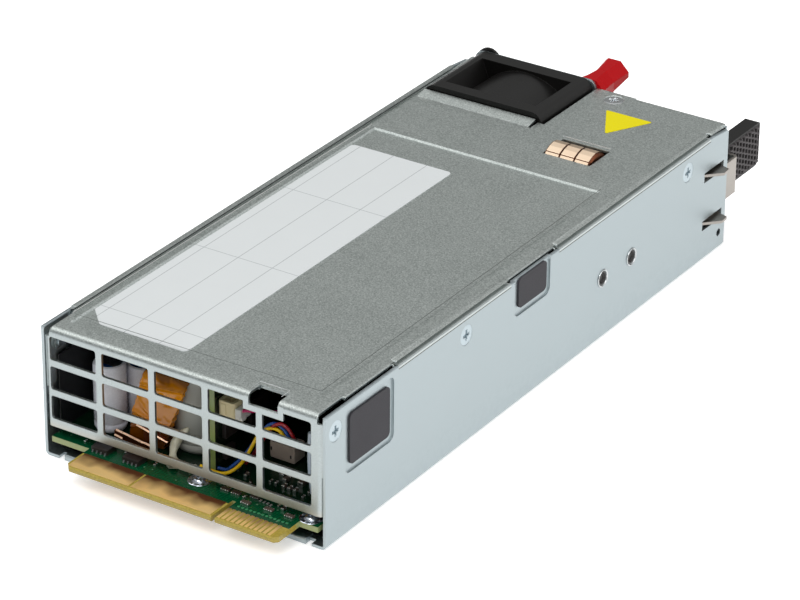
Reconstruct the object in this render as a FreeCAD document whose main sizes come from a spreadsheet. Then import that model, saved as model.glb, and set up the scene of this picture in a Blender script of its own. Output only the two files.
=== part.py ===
"""Hot swap server power supply, as a parametric FreeCAD document.

Millimetres.  X runs across the case and is 0 at mid width.  Y runs from the
connector end (0) to the fan and handle end.  Z is up from the underside.
The unit slides into its bay along -Y.
"""
import FreeCAD, Part
import math
import os
import re
import Sketcher

# Driving dimensions, one group for each piece.
SIZES = {
    # sheet-metal case
    "case_width": 86.0, "case_length": 200.0, "case_height": 37.1, "metal": 0.8,
    "wall_drop": 0.2, "tray_bend": 1.3, "rear_corner_cut": 1.7,
    "hem_length": 3.4, "hem_end": 4.2, "relief_width": 1.8, "relief_depth": 2.2,
    # cover
    "cover_gap": 0.1, "cover_bend": 1.5, "front_bend": 1.6, "skirt_depth": 9.6,
    "overhang_end": 12.8, "overhang_step": 0.6,
    "grille_columns": 5, "grille_rows": 3, "grille_centre": -0.9, "grille_side": 1.55,
    "column_bar": 1.8, "row_pitch": 8.4, "row_opening": 6.6,
    "top_bar": 2.5, "rail_depth": 2.3, "opening_corner": 0.7,
    "notch_start": 20.3, "notch_end": 29.0, "notch_back": 5.8, "notch_drop": 3.1,
    "sill_overlap": 1.6, "sill_height": 1.6, "corner_relief": 1.6, "relief_drop": 2.4,
    "panel_start": 5.3, "panel_beyond": 11.8, "panel_left": 38.0, "panel_right": 34.4,
    "panel_depth": 0.45, "panel_slope": 45.0,
    "edge_step": 11.2, "edge_in_near": 2.7, "edge_in_far": 1.9, "edge_in_rear": 1.2, "edge_margin": 1.7,
    "tab_length": 7.0, "tab_bottom": 20.0, "tab_top_gap": 2.6,
    "edge_nick": 191.7, "nick_radius": 1.1,
    # countersunk screws and their places
    "screw_head": 2.85, "screw_shank": 1.42, "screw_length": 3.2, "screw_fit": 0.05,
    "boss_radius": 2.4, "boss_height": 1.0, "side_screw_level": 31.6,
    "side_screw_first": 4.4, "side_screw_second": 63.6, "side_screw_third": 177.4,
    "top_screw_across": 7.9, "top_screw_inset": 3.5,
    # pads in the right wall
    "recess_depth": 0.5, "recess_lip": 0.5, "pad_thickness": 0.55, "pad_corner": 1.5,
    "pad_one_start": 10.5, "pad_one_length": 17.8, "pad_one_bottom": 19.1, "pad_one_height": 14.2,
    "pad_two_start": 88.7, "pad_two_length": 13.8, "pad_two_bottom": 28.0, "recess_border": 1.9,
    # labels
    "label_start": 9.0, "label_length": 123.2, "label_left": 37.4, "label_width": 32.5,
    "label_cut": 5.9, "label_thickness": 0.1, "label_corner": 1.5,
    "sticker_across": 17.05, "sticker_side": 14.9, "sticker_near": 176.1, "sticker_depth": 13.5,
    "sticker_corner": 0.4,
    # fan
    "fan_size": 38.6, "fan_depth": 28.0, "fan_side": 3.4, "fan_floor_gap": 0.2,
    "fan_corner": 3.4, "fan_bore": 17.6, "duct_wall": 0.8, "front_flange": 4.0,
    "rear_flange": 4.6, "scoop_half": 15.3, "scoop_foot": 12.5, "scoop_depth": 5.8,
    "fan_hole_pitch": 32.0, "fan_hole": 1.75, "strut_width": 1.7, "strut_depth": 2.6,
    "motor_base": 8.6, "bearing_outer": 2.3, "bearing_wall": 0.7, "bearing_length": 3.0,
    "hub_radius": 8.6, "hub_wall": 0.9, "hub_length": 20.0, "hub_inset": 2.4,
    "fan_shaft_radius": 1.0, "bearing_fit": 0.03, "magnet_wall": 0.7, "air_gap": 0.3,
    "blade_count": 7, "blade_gap": 0.5, "blade_inset": 3.0, "blade_reach": 16.0,
    "root_swing": 6.0, "tip_swing": 11.0, "blade_thickness": 1.3,
    "fan_clear": 0.35, "fan_side_clear": 1.0, "lip_length": 4.0, "lip_rise": 0.9, "lip_side": 2.0,
    # rear panel
    "panel_gap": 0.2, "panel_side_gap": 0.3, "panel_flange": 10.0, "tab_rise": 39.3,
    "tab_corner": 2.4, "guard_inner": 5.0, "guard_slot": 3.0, "guard_bar": 1.1,
    "guard_spoke": 2.2, "guard_rings": 3, "latch_window": 36.4, "window_gap": 1.2,
    "rivet_radius": 1.6, "rivet_head": 2.6, "rivet_dome": 0.8, "panel_rivet_level": 15.0,
    "push_head": 4.0, "push_dome": 2.4, "push_shank": 1.7, "push_length": 5.0,
    # mains inlet
    "inlet_side": 22.5, "inlet_level": 17.0, "socket_width": 24.4, "socket_height": 16.4,
    "socket_depth": 17.0, "socket_cut": 4.4, "inlet_wall": 1.5, "inlet_back": 3.0,
    "inlet_proud": 1.0, "inlet_flange": 1.5, "flange_thick": 2.0, "inlet_fit": 0.1,
    "pin_pitch": 7.0, "pin_drop": 2.0, "pin_width": 2.0, "pin_height": 4.0,
    "pin_length": 13.4, "pin_tail": 7.0,
    # status light
    "light_radius": 1.5, "light_above": 3.9, "light_length": 5.0, "light_proud": 0.8,
    # red grip
    "grip_across": -2.0, "grip_root": 8.4, "grip_waist": 6.2, "grip_tip": 7.8, "grip_reach": 14.4,
    "grip_bottom": 14.0, "grip_top": 39.2, "root_step": 2.6, "grip_palm": 32.6, "palm_place": 7.4,
    "tip_bottom": 34.6, "tip_top": 39.9, "grip_cut": 2.8, "foot_thick": 1.6, "foot_width": 11.0,
    "foot_bottom": 16.0, "foot_top": 35.0, "foot_screw_across": 4.15, "foot_screw_inset": 3.0,
    "pan_head": 1.9, "pan_height": 1.2, "pan_shank": 1.1,
    # latch
    "leaf_thick": 0.4, "leaf_start": 126.0, "leaf_weld": 10.0, "strip_bottom": 13.0,
    "strip_top": 24.0, "eyelet_first": 132.0, "eyelet_pitch": 15.2, "eyelet_outer": 2.0,
    "eyelet_bore": 1.55, "eyelet_flange": 2.6, "eyelet_lip": 0.3,
    "arm_thick": 0.8, "arm_gap": 0.1, "arm_start": 158.0, "arm_end": 209.0, "arm_bend": 1.4,
    "hook_start": 187.6, "hook_crest": 192.6, "hook_tip": 195.6, "hook_end": 197.2, "hook_reach": 3.2,
    "ear_span": 15.6, "slot_start": 187.0, "slot_end": 197.9, "slot_height": 3.0,
    "thumb_inset": 5.0, "thumb_thick": 4.5, "thumb_start": 206.0, "thumb_end": 228.4,
    "thumb_bottom": 12.7, "thumb_top": 26.0, "thumb_corner": 2.2, "tongue_end": 222.0,
    # spring fingers in the cover
    "finger_left": 9.5, "finger_width": 4.4, "finger_pitch": 4.65, "finger_start": 156.2,
    "finger_run": 9.4, "finger_rise": 1.6, "finger_metal": 0.25, "finger_base": 5.6,
    "finger_slot_gap": 0.3, "finger_slot_side": 1.0,
    # main board and its edge connector
    "standoff_height": 3.9, "standoff_radius": 2.6, "board_thickness": 1.6,
    "board_side": 2.6, "board_near_side": 2.0, "board_end": 168.0, "board_front": 0.5,
    "tongue_reach": 10.8, "power_left": 28.6, "power_right": 16.3, "tongue_slot": 1.1,
    "signal_right": 35.6, "tongue_corner": 1.4, "bevel": 0.4,
    "gold": 0.08, "pad_margin": 0.7, "pad_split": -9.0, "split_width": 0.7, "pad_length": 7.0,
    "signal_count": 12, "signal_pitch": 1.37, "signal_width": 0.85, "signal_first": 18.0,
    "signal_length": 5.3,
    "post_side": 6.5, "post_near": 34.0, "post_far": 162.0, "post_hole": 1.45,
    # parts on the board near the grille
    "cap_radius": 4.3, "cap_height": 20.0, "tall_cap_radius": 7.0, "tall_cap_height": 27.0,
    "tall_cap_across": -4.2, "tall_cap_along": 17.5,
    "coil_left": -23.4, "coil_right": -10.6, "coil_near": 8.2, "coil_depth": 5.6,
    "coil_height": 21.0, "coil_taper": 5.4, "coil_round": 1.2,
    "strap_thick": 0.6, "bead_radius": 2.3, "bead_height": 7.5, "bead_across": -5.6,
    "small_core_left": -19.5, "small_core_width": 7.9, "small_core_depth": 15.0,
    "small_core_height": 22.0,
    "riser_across": 3.2, "riser_near": 7.5, "riser_length": 58.0, "riser_height": 27.0,
    "socket_block": 4.0, "relay_width": 7.2, "relay_depth": 8.0, "relay_height": 4.6,
    "relay_across": 15.9, "relay_near": 21.3,
    "wire_radius": 0.65, "chip_width": 5.0, "chip_depth": 3.9, "chip_height": 1.45,
    "joint_radius": 2.4, "joint_height": 0.9,
    # parts further in
    "bulk_radius": 12.5, "bulk_length": 46.0, "bulk_across": -26.0, "bulk_near": 98.0,
    "core_width": 28.0, "core_depth": 28.0, "core_height": 24.0, "core_across": 21.0,
    "core_near": 68.0, "core_leg": 5.5, "core_cap": 4.0, "winding_radius": 10.2,
    "toroid_radius": 9.0, "toroid_wire": 4.0, "choke_across": 22.0, "choke_along": 118.0,
    "filter_across": -26.0, "filter_along": 156.0, "filter_radius": 7.5, "filter_wire": 3.2,
    "sink_thick": 2.5, "sink_height": 25.0, "sink_length": 62.0, "sink_across": -9.0,
    "sink_near": 76.0, "sink_fins": 5, "fin_reach": 5.0, "fin_thick": 1.2,
    "device_width": 10.0, "device_height": 15.0, "device_thick": 4.5,
    "sheet_plastic": 0.3, "sheet_height": 27.0,
}

# Places that follow from them.
DERIVED = {
    "half_width": "case_width / 2",
    "wall_inner": "half_width - metal",
    "wall_top": "case_height - wall_drop",
    "cover_side": "wall_inner - cover_gap",
    "column_pitch": "(2 * (cover_side - grille_side)) / grille_columns",
    "column_opening": "column_pitch - column_bar",
    "panel_end": "label_start + label_length + panel_beyond",
    "plate_under": "case_height - metal",
    "board_base": "metal + standoff_height",
    "board_top": "board_base + board_thickness",
    "board_left": "half_width - board_side",
    "board_right": "half_width - board_near_side",
    "post_across": "half_width - post_side",
    "panel_front": "case_length + panel_gap",
    "panel_rear": "panel_front + metal",
    "fan_across": "-(half_width - fan_side - fan_size / 2)",
    "fan_rear": "panel_front",
    "fan_front": "fan_rear - fan_depth",
    "fan_level": "metal + fan_floor_gap + fan_size / 2",
    "top_opening": "case_height - top_bar",
    "rail_bottom": "top_opening - row_opening - (grille_rows - 1) * row_pitch - rail_depth",
    "strip_level": "(strip_bottom + strip_top) / 2",
    "arm_outer": "wall_inner - leaf_thick - arm_gap",
    "arm_inner": "arm_outer - arm_thick",
    "ear_top": "strip_level + ear_span / 2",
    "ear_bottom": "strip_level - ear_span / 2",
    "signal_left": "power_right + tongue_slot",
    "thumb_face": "half_width - thumb_inset",
    "inlet_across": "half_width - inlet_side",
    "top_screw_along": "panel_rear - top_screw_inset - metal",
    "cut_half": "fan_size / 2 + fan_side_clear",
    "light_level": "inlet_level + socket_height / 2 + inlet_wall + light_above",
    "tongue_right": "thumb_face - thumb_thick / 2 + arm_thick / 2",
    "tongue_left": "thumb_face - thumb_thick / 2 - arm_thick / 2",
    "socket_floor": "panel_rear + inlet_proud - socket_depth",
}

doc = FreeCAD.newDocument("server_power_supply")
table = doc.addObject("Spreadsheet::Sheet", "Sizes")
for row, (alias, amount) in enumerate(SIZES.items(), start=1):
    table.set("A%d" % row, str(amount))
    table.setAlias("A%d" % row, alias)
for row, (alias, formula) in enumerate(DERIVED.items(), start=1):
    table.set("B%d" % row, "=" + formula)
    table.setAlias("B%d" % row, alias)
doc.recompute()

ALIASES = re.compile(r"\b(%s)\b" % "|".join(list(SIZES) + list(DERIVED)))
nodes = []


# ---------------------------------------------------------------- helpers

def size(alias):
    """A cell's value as a number, for picking edges and for curves."""
    return float(getattr(table, alias))


def bind(item, **links):
    """Bind properties to expressions written in the sheet's aliases."""
    for name, formula in links.items():
        item.setExpression(name.replace("__", "."), ALIASES.sub(r"Sizes.\1", str(formula)))


def place(item, x="0", y="0", z="0"):
    bind(item, Placement__Base__x=x, Placement__Base__y=y, Placement__Base__z=z)
    return item


def keep(item, label):
    """Give a finished sub-part its label and list it for export."""
    item.Label = label
    nodes.append(item)
    return item


def new_body(name):
    return doc.addObject("PartDesign::Body", name)


def sketch(body, plane, at="0"):
    """A sketch on one of the body's origin planes, moved to a place along its axis."""
    drawing = body.newObject("Sketcher::SketchObject", "Sketch")
    base = [face for face in body.Origin.OriginFeatures if face.Role == plane + "_Plane"][0]
    drawing.AttachmentSupport = [(base, "")]
    drawing.MapMode = "FlatFace"
    sign = "-1" if plane == "XZ" else "1"
    bind(drawing, AttachmentOffset__Base__z="%s * (%s)" % (sign, at))
    return drawing


def fix_point(drawing, geometry, vertex, x, y):
    """Hold a sketch point at an expression-driven place."""
    for kind, formula in (("DistanceX", x), ("DistanceY", y)):
        number = drawing.addConstraint(Sketcher.Constraint(kind, -1, 1, geometry, vertex, 1.0))
        drawing.setExpression("Constraints[%d]" % number, ALIASES.sub(r"Sizes.\1", str(formula)))


def polygon(drawing, corners):
    """A closed outline whose corners are pairs of expressions."""
    count = len(corners)
    first = drawing.GeometryCount
    turn = [2 * math.pi * i / count for i in range(count + 1)]
    points = [FreeCAD.Vector(math.cos(a), math.sin(a), 0) for a in turn]
    drawing.addGeometry([Part.LineSegment(points[i], points[i + 1]) for i in range(count)], False)
    links = [Sketcher.Constraint("Coincident", first + i, 2, first + (i + 1) % count, 1)
             for i in range(count)]
    drawing.addConstraint(links)
    for i, (x, y) in enumerate(corners):
        fix_point(drawing, first + i, 1, x, y)
    return drawing


def rectangle(drawing, left, bottom, right, top):
    return polygon(drawing, [(left, bottom), (right, bottom), (right, top), (left, top)])


def circle(drawing, x, y, radius):
    number = drawing.addGeometry(Part.Circle(FreeCAD.Vector(0, 0, 0), FreeCAD.Vector(0, 0, 1), 1), False)
    fix_point(drawing, number, 3, x, y)
    limit = drawing.addConstraint(Sketcher.Constraint("Radius", number, 1.0))
    drawing.setExpression("Constraints[%d]" % limit, ALIASES.sub(r"Sizes.\1", str(radius)))
    return drawing


def add(body, drawing, length, toward=1):
    """Pad a sketch along its axis, toward +1 or -1."""
    feature = body.newObject("PartDesign::Pad", "Pad")
    feature.Profile = drawing
    flipped = drawing.AttachmentSupport[0][0].Role == "XZ_Plane"
    feature.Reversed = (toward > 0) == flipped
    bind(feature, Length=length)
    doc.recompute()
    return feature


def carve(body, drawing, length, toward=1):
    """Pocket a sketch along its axis, toward +1 or -1, and see that it removes metal."""
    before = body.Shape.Volume
    feature = body.newObject("PartDesign::Pocket", "Pocket")
    feature.Profile = drawing
    flipped = drawing.AttachmentSupport[0][0].Role == "XZ_Plane"
    feature.Reversed = (toward > 0) != flipped
    bind(feature, Length=length)
    doc.recompute()
    if body.Shape.Volume > before - 1e-4:
        raise ValueError(body.Name + " " + feature.Name + " cuts nothing")
    return feature


def spans(edge, axis):
    """True for a straight edge that lies along one axis."""
    if edge.Curve.TypeId != "Part::GeomLine":
        return False
    return abs(abs(edge.Curve.Direction[axis]) - 1) < 1e-6


def near(value, *targets):
    return any(abs(value - target) < 1e-3 for target in targets)


def soften(body, radius, picked, kind="Fillet"):
    """Fillet or chamfer the tip's edges that a test picks."""
    tip = body.Tip
    names = ["Edge%d" % (i + 1) for i, edge in enumerate(tip.Shape.Edges) if picked(edge)]
    if not names:
        raise ValueError(body.Name + " has no edge to soften")
    feature = body.newObject("PartDesign::" + kind, kind)
    feature.Base = (tip, names)
    bind(feature, **{"Radius" if kind == "Fillet" else "Size": radius})
    doc.recompute()
    if "Invalid" in feature.State or feature.Shape.isNull():
        raise ValueError(body.Name + " " + kind + " failed at radius " + radius)
    return feature


def block(x, y, z, width, depth, height):
    """A box by its lowest corner and its three sizes."""
    item = doc.addObject("Part::Box", "Block")
    bind(item, Length=width, Width=depth, Height=height)
    return place(item, x, y, z)


def rod(x, y, z, radius, length, axis="z"):
    """A cylinder that starts at a point and runs toward + along an axis."""
    item = doc.addObject("Part::Cylinder", "Rod")
    aim = {"x": FreeCAD.Vector(1, 0, 0), "y": FreeCAD.Vector(0, 1, 0), "z": FreeCAD.Vector(0, 0, 1)}
    item.Placement.Rotation = FreeCAD.Rotation(FreeCAD.Vector(0, 0, 1), aim[axis])
    bind(item, Radius=radius, Height=length)
    return place(item, x, y, z)


def tube(x, y, z, outer, inner, length, axis="z"):
    return cut(rod(x, y, z, outer, length, axis), rod(x, y, z, inner, length, axis))


def cut(base, *tools):
    item = doc.addObject("Part::Cut", "Cut")
    item.Base = base
    item.Tool = tools[0] if len(tools) == 1 else fuse(*tools)
    return item


def fuse(*pieces):
    item = doc.addObject("Part::MultiFuse", "Fuse")
    item.Shapes = list(pieces)
    return item


def group(*pieces):
    """Separate solids that share a node."""
    item = doc.addObject("Part::Compound", "Group")
    item.Links = list(pieces)
    return item


def rounded(item, radius, picked):
    """Fillet a primitive's edges that a test picks."""
    doc.recompute()
    feature = doc.addObject("Part::Fillet", "Rounded")
    feature.Base = item
    feature.Edges = [(i + 1, size(radius), size(radius))
                     for i, edge in enumerate(item.Shape.Edges) if picked(edge)]
    return feature


def upright(edge):
    return spans(edge, 2)


# ---------------------------------------------------------------- chassis

def chassis_tray():
    """Galvanised U tray: floor and both side walls, with every pressed feature."""
    tray = new_body("tray")
    profile = sketch(tray, "XZ")
    polygon(profile, [("-half_width", "wall_top"), ("-half_width", "0"), ("half_width", "0"),
                      ("half_width", "wall_top"), ("wall_inner", "wall_top"), ("wall_inner", "metal"),
                      ("-wall_inner", "metal"), ("-wall_inner", "wall_top")])
    add(tray, profile, "case_length")
    half = size("half_width")
    inner = size("wall_inner")
    soften(tray, "tray_bend", lambda e: spans(e, 1) and near(abs(e.CenterOfMass.x), half)
           and near(e.CenterOfMass.z, 0))
    soften(tray, "tray_bend - metal", lambda e: spans(e, 1) and near(abs(e.CenterOfMass.x), inner)
           and near(e.CenterOfMass.z, size("metal")))

    corner = sketch(tray, "YZ", "-half_width")
    polygon(corner, [("edge_nick", "wall_top"), ("edge_nick", "case_height"),
                     ("case_length + 1", "case_height"), ("case_length + 1", "wall_top - rear_corner_cut"),
                     ("case_length", "wall_top - rear_corner_cut"),
                     ("case_length - rear_corner_cut / 2", "wall_top - metal")])
    carve(tray, corner, "case_width")

    # the floor's front edge is folded back on itself between two reliefs
    hem = sketch(tray, "XY", "metal")
    rectangle(hem, "-half_width + hem_end + relief_width", "0", "half_width - hem_end - relief_width",
              "hem_length")
    add(tray, hem, "metal")
    soften(tray, "metal * 0.7", lambda e: spans(e, 0) and near(e.CenterOfMass.y, 0)
           and near(e.CenterOfMass.z, 2 * size("metal")))
    for side in ("-1", "1"):
        relief = sketch(tray, "XY", "0")
        edges = ["%s * (half_width - hem_end)" % side, "%s * (half_width - hem_end - relief_width)" % side]
        rectangle(relief, edges[0], "-1", edges[1], "relief_depth")
        carve(tray, relief, "metal * 2")

    # pressed seats for the pads: sunk outside, proud inside
    seats = [("pad_one_start", "pad_one_length", "pad_one_bottom",
              "pad_one_bottom + pad_one_height + recess_border"),
             ("pad_two_start", "pad_two_length", "pad_two_bottom", "wall_top")]
    for start, length, bottom, top in seats:
        pressed = sketch(tray, "YZ", "wall_inner")
        rectangle(pressed, "%s - recess_border - recess_lip" % start,
                  "%s - recess_border - recess_lip" % bottom,
                  "%s + %s + recess_border + recess_lip" % (start, length),
                  "min(%s + recess_lip; wall_top)" % top)
        add(tray, pressed, "recess_depth", -1)
        sunk = sketch(tray, "YZ", "half_width")
        rectangle(sunk, "%s - recess_border" % start, "%s - recess_border" % bottom,
                  "%s + %s + recess_border" % (start, length), top)
        carve(tray, sunk, "recess_depth", -1)
        soften(tray, "pad_corner + recess_lip", lambda e: spans(e, 0) and near(e.Length, size("recess_depth"))
               and e.CenterOfMass.x > inner + 0.1 and e.CenterOfMass.z < size("wall_top") - 1
               and size(start) - 3 < e.CenterOfMass.y < size(start) + size(length) + 3)

    # cover screws in both walls, latch openings in the right one, a rivet in the left one
    for side in ("-1", "1"):
        holes = sketch(tray, "YZ", "%s * half_width" % side)
        for along in ("side_screw_first", "side_screw_second", "side_screw_third"):
            circle(holes, along, "side_screw_level", "screw_head + screw_fit - metal + 0.05")
        carve(tray, holes, "metal", -int(side))
        soften(tray, "metal - 0.05", lambda e: e.Curve.TypeId == "Part::GeomCircle"
               and near(e.CenterOfMass.x, int(side) * half)
               and near(e.CenterOfMass.z, size("side_screw_level")), "Chamfer")
    openings = sketch(tray, "YZ", "half_width")
    for level in ("ear_top - arm_thick / 2", "ear_bottom + arm_thick / 2"):
        rectangle(openings, "slot_start", "%s - slot_height / 2" % level, "slot_end",
                  "%s + slot_height / 2" % level)
    for along in ("eyelet_first", "eyelet_first + eyelet_pitch"):
        circle(openings, along, "strip_level", "eyelet_outer")
    circle(openings, "case_length - 3.3", "5.3", "nick_radius")
    carve(tray, openings, "metal", -1)
    rivets = sketch(tray, "YZ", "-half_width")
    circle(rivets, "panel_front - panel_flange / 2", "panel_rivet_level", "rivet_radius")
    carve(tray, rivets, "metal")

    floor_holes = sketch(tray, "XY", "0")
    for across, along in POSTS:
        circle(floor_holes, across, along, "standoff_radius * 0.75")
    for across in PANEL_RIVETS:
        circle(floor_holes, across, "panel_front - panel_flange / 2", "rivet_radius")
    carve(tray, floor_holes, "metal")
    keep(tray, "chassis_tray")


POSTS = [(side + "post_across", along) for side in ("-", "") for along in ("post_near", "post_far")]
PANEL_RIVETS = ("inlet_across - panel_flange", "inlet_across + panel_flange")


def board_posts():
    """Clinch standoffs in the floor and the screws that hold the board down."""
    standoffs = []
    screws = []
    for across, along in POSTS:
        collar = rod(across, along, "metal", "standoff_radius", "standoff_height")
        shank = rod(across, along, "0.05", "standoff_radius * 0.75 - screw_fit", "metal")
        bore = rod(across, along, "metal * 2", "screw_shank - 0.1", "standoff_height")
        standoffs.append(cut(fuse(collar, shank), bore))
        head = rod(across, along, "board_top", "standoff_radius", "pan_height")
        stem = rod(across, along, "board_base - 2", "screw_shank - 0.15", "board_thickness + 2.1")
        screws.append(fuse(head, stem))
    keep(group(*standoffs), "board_standoffs")
    keep(group(*screws), "board_screws")


# ---------------------------------------------------------------- cover

def top_cover():
    """Cover: top plate, both skirts and the folded grille, all from one sheet."""
    cover = new_body("cover")
    profile = sketch(cover, "XZ")
    polygon(profile, [("-cover_side", "case_height - skirt_depth"), ("-cover_side", "case_height"),
                      ("cover_side", "case_height"), ("cover_side", "case_height - skirt_depth"),
                      ("cover_side - metal", "case_height - skirt_depth"),
                      ("cover_side - metal", "plate_under"), ("-cover_side + metal", "plate_under"),
                      ("-cover_side + metal", "case_height - skirt_depth")])
    add(cover, profile, "case_length")
    face = sketch(cover, "XZ")
    rectangle(face, "-cover_side", "rail_bottom", "cover_side", "case_height")
    add(cover, face, "metal")
    soften(cover, "front_bend", lambda e: spans(e, 0) and near(e.CenterOfMass.y, 0)
           and near(e.CenterOfMass.z, size("case_height")))
    soften(cover, "cover_bend", lambda e: spans(e, 1) and near(e.CenterOfMass.z, size("case_height")))

    # plate past the walls, over the rear panel
    tail = sketch(cover, "XY", "plate_under")
    polygon(tail, [("fan_across + cut_half", "case_length - 1"), ("cover_side", "case_length - 1"),
                   ("cover_side", "case_length"), ("cover_side - cover_bend", "panel_rear - overhang_step"),
                   ("overhang_end", "panel_rear - overhang_step"),
                   ("overhang_end", "panel_rear"), ("fan_across + cut_half", "panel_rear")])
    add(cover, tail, "metal")

    # side tabs bent back from the face, inside the walls
    for side in ("-1", "1"):
        tab = sketch(cover, "YZ", "%s * cover_side" % side)
        rectangle(tab, "metal / 2", "tab_bottom", "metal + tab_length", "case_height - tab_top_gap")
        add(cover, tab, "metal", -int(side))

    shallow_panel(cover)
    cover_edges(cover)
    fan_opening(cover)
    cover_holes(cover)
    keep(grille(cover), "top_cover")


def shallow_panel(cover):
    """The label's field, pressed down a little below the plate."""
    under = sketch(cover, "XY", "plate_under")
    rectangle(under, "-panel_left - 0.4", "panel_start - 0.4", "panel_right + 0.4", "panel_end + 0.4")
    add(cover, under, "panel_depth", -1)
    sunk = sketch(cover, "XY", "case_height")
    rectangle(sunk, "-panel_left", "panel_start", "panel_right", "panel_end")
    carve(cover, sunk, "panel_depth", -1).TaperAngle = -size("panel_slope")
    doc.recompute()


def cover_edges(cover):
    """Skirt cut away at the front, at the second pad, and a bend nick near the back."""
    cuts = [("1", "-1", "edge_step", "edge_in_near"),
            ("1", "edge_step - 1", "pad_one_start + pad_one_length + recess_border + edge_margin",
             "edge_in_far"),
            ("1", "pad_two_start - recess_border - edge_margin",
             "pad_two_start + pad_two_length + recess_border + edge_margin + 2.5", "edge_in_far"),
            ("-1", "-1", "edge_step", "edge_in_near")]
    for side, start, end, inset in cuts:
        away = sketch(cover, "XY", "case_height")
        rectangle(away, "%s * (half_width - %s)" % (side, inset), "max(%s; metal)" % start,
                  "%s * half_width" % side, end)
        # the front tabs stay: only the plate's edge and the skirt go
        depth = "tab_top_gap" if end == "edge_step" else "skirt_depth"
        carve(cover, away, depth, -1)
    freed = sketch(cover, "XY", "case_height")
    rectangle(freed, "half_width - edge_in_rear", "edge_nick", "half_width", "panel_rear")
    carve(cover, freed, "metal", -1)
    unbent = sketch(cover, "YZ", "half_width")
    rectangle(unbent, "edge_nick", "case_height - skirt_depth - 1", "panel_rear", "plate_under")
    carve(cover, unbent, "edge_in_near", -1)
    for side in ("-1", "1"):
        corner = sketch(cover, "XZ", "metal")
        polygon(corner, [("%s * (cover_side - corner_relief)" % side, "case_height"),
                         ("%s * (cover_side - corner_relief)" % side, "case_height - relief_drop"),
                         ("%s * half_width" % side, "case_height - relief_drop"),
                         ("%s * half_width" % side, "case_height")])
        carve(cover, corner, "metal * 2", -1)
        skirt = sketch(cover, "YZ", "%s * half_width" % side)
        rectangle(skirt, "metal + tab_length", "case_height - skirt_depth - 1", "edge_step", "plate_under")
        carve(cover, skirt, "edge_in_near", -int(side))
    nick = sketch(cover, "XY", "case_height")
    circle(nick, "half_width - edge_in_far + 0.2", "edge_nick - nick_radius / 2", "nick_radius")
    carve(cover, nick, "metal * 2", -1)


def grille(cover):
    """Rows and columns of openings, with the stepped notch over the fourth and fifth columns."""
    columns = int(size("grille_columns"))
    openings = []
    for row in range(int(size("grille_rows"))):
        for column in range(columns):
            opening = block("grille_centre + %g * column_pitch - column_opening / 2"
                            % (column - (columns - 1) / 2), "-1",
                            "top_opening - %d * row_pitch - row_opening" % row,
                            "column_opening", "metal * 2 + 1", "row_opening")
            openings.append(rounded(opening, "opening_corner", lambda e: spans(e, 1)))
    sill = block("notch_start - sill_overlap", "0", "case_height - notch_drop - sill_height",
                 "notch_end - notch_start + 2 * sill_overlap", "metal", "notch_drop + sill_height - 1")
    notch = block("notch_start", "-1", "case_height - notch_drop", "notch_end - notch_start",
                  "notch_back + 1", "notch_drop + 1")
    return cut(fuse(cut(cover, *openings), sill), notch)


def fan_opening(cover):
    """The fan stands through the plate; a lip bent up in front of it covers its edge."""
    away = sketch(cover, "XY", "case_height")
    rectangle(away, "fan_across - cut_half", "fan_front - fan_clear", "fan_across + cut_half",
              "panel_rear + 1")
    carve(cover, away, "metal", -1)
    lip_gap = sketch(cover, "XY", "case_height")
    rectangle(lip_gap, "fan_across - fan_size / 2", "fan_front - fan_clear - lip_length",
              "fan_across + fan_size / 2 - lip_side / 2", "fan_front")
    carve(cover, lip_gap, "metal", -1)
    lip = sketch(cover, "YZ", "fan_across - fan_size / 2 + 0.2")
    root = "fan_front - fan_clear - lip_length"
    polygon(lip, [(root + " - 0.5", "case_height"), (root, "case_height"),
                  ("fan_front - fan_clear", "case_height + lip_rise"),
                  ("fan_front - fan_clear", "case_height + lip_rise - metal"),
                  (root, "plate_under"), (root + " - 0.5", "plate_under")])
    add(cover, lip, "fan_size - lip_side")


def cover_holes(cover):
    """Finger slot, rear countersink, and a tapped collar for each side screw."""
    slot = sketch(cover, "XY", "case_height")
    rectangle(slot, "finger_left - finger_slot_gap", "finger_start - finger_slot_gap",
              "finger_left + 2 * finger_pitch + finger_width + finger_slot_side",
              "finger_start + finger_run + 1.2")
    carve(cover, slot, "metal", -1)
    rear = sketch(cover, "XY", "case_height")
    circle(rear, "top_screw_across", "top_screw_along", "screw_head + screw_fit - metal + 0.05")
    carve(cover, rear, "metal", -1)
    soften(cover, "metal - 0.05", lambda e: e.Curve.TypeId == "Part::GeomCircle"
           and near(e.CenterOfMass.z, size("case_height"))
           and near(e.CenterOfMass.x, size("top_screw_across")), "Chamfer")
    for side in ("-1", "1"):
        for along in ("side_screw_first", "side_screw_second", "side_screw_third"):
            collar = sketch(cover, "YZ", "%s * (cover_side - metal)" % side)
            circle(collar, along, "side_screw_level", "boss_radius")
            add(cover, collar, "boss_height", -int(side))
            hole = sketch(cover, "YZ", "%s * cover_side" % side)
            circle(hole, along, "side_screw_level", "screw_shank + screw_fit")
            carve(cover, hole, "metal + boss_height", -int(side))
        soften(cover, "metal * 0.7", lambda e: e.Curve.TypeId == "Part::GeomCircle"
               and near(e.CenterOfMass.x, int(side) * size("cover_side"))
               and near(e.CenterOfMass.z, size("side_screw_level")), "Chamfer")


def countersunk(x, y, z, axis, turn):
    """A countersunk screw with its head's face at a point, driven along an axis."""
    head = doc.addObject("Part::Cone", "Head")
    bind(head, Radius1="screw_head", Radius2="screw_shank", Height="screw_head - screw_shank")
    head.Placement.Rotation = FreeCAD.Rotation(axis, turn)
    place(head, x, y, z)
    stem = doc.addObject("Part::Cylinder", "Stem")
    bind(stem, Radius="screw_shank", Height="screw_length")
    stem.Placement.Rotation = FreeCAD.Rotation(axis, turn)
    place(stem, x, y, z)
    return fuse(head, stem)


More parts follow.
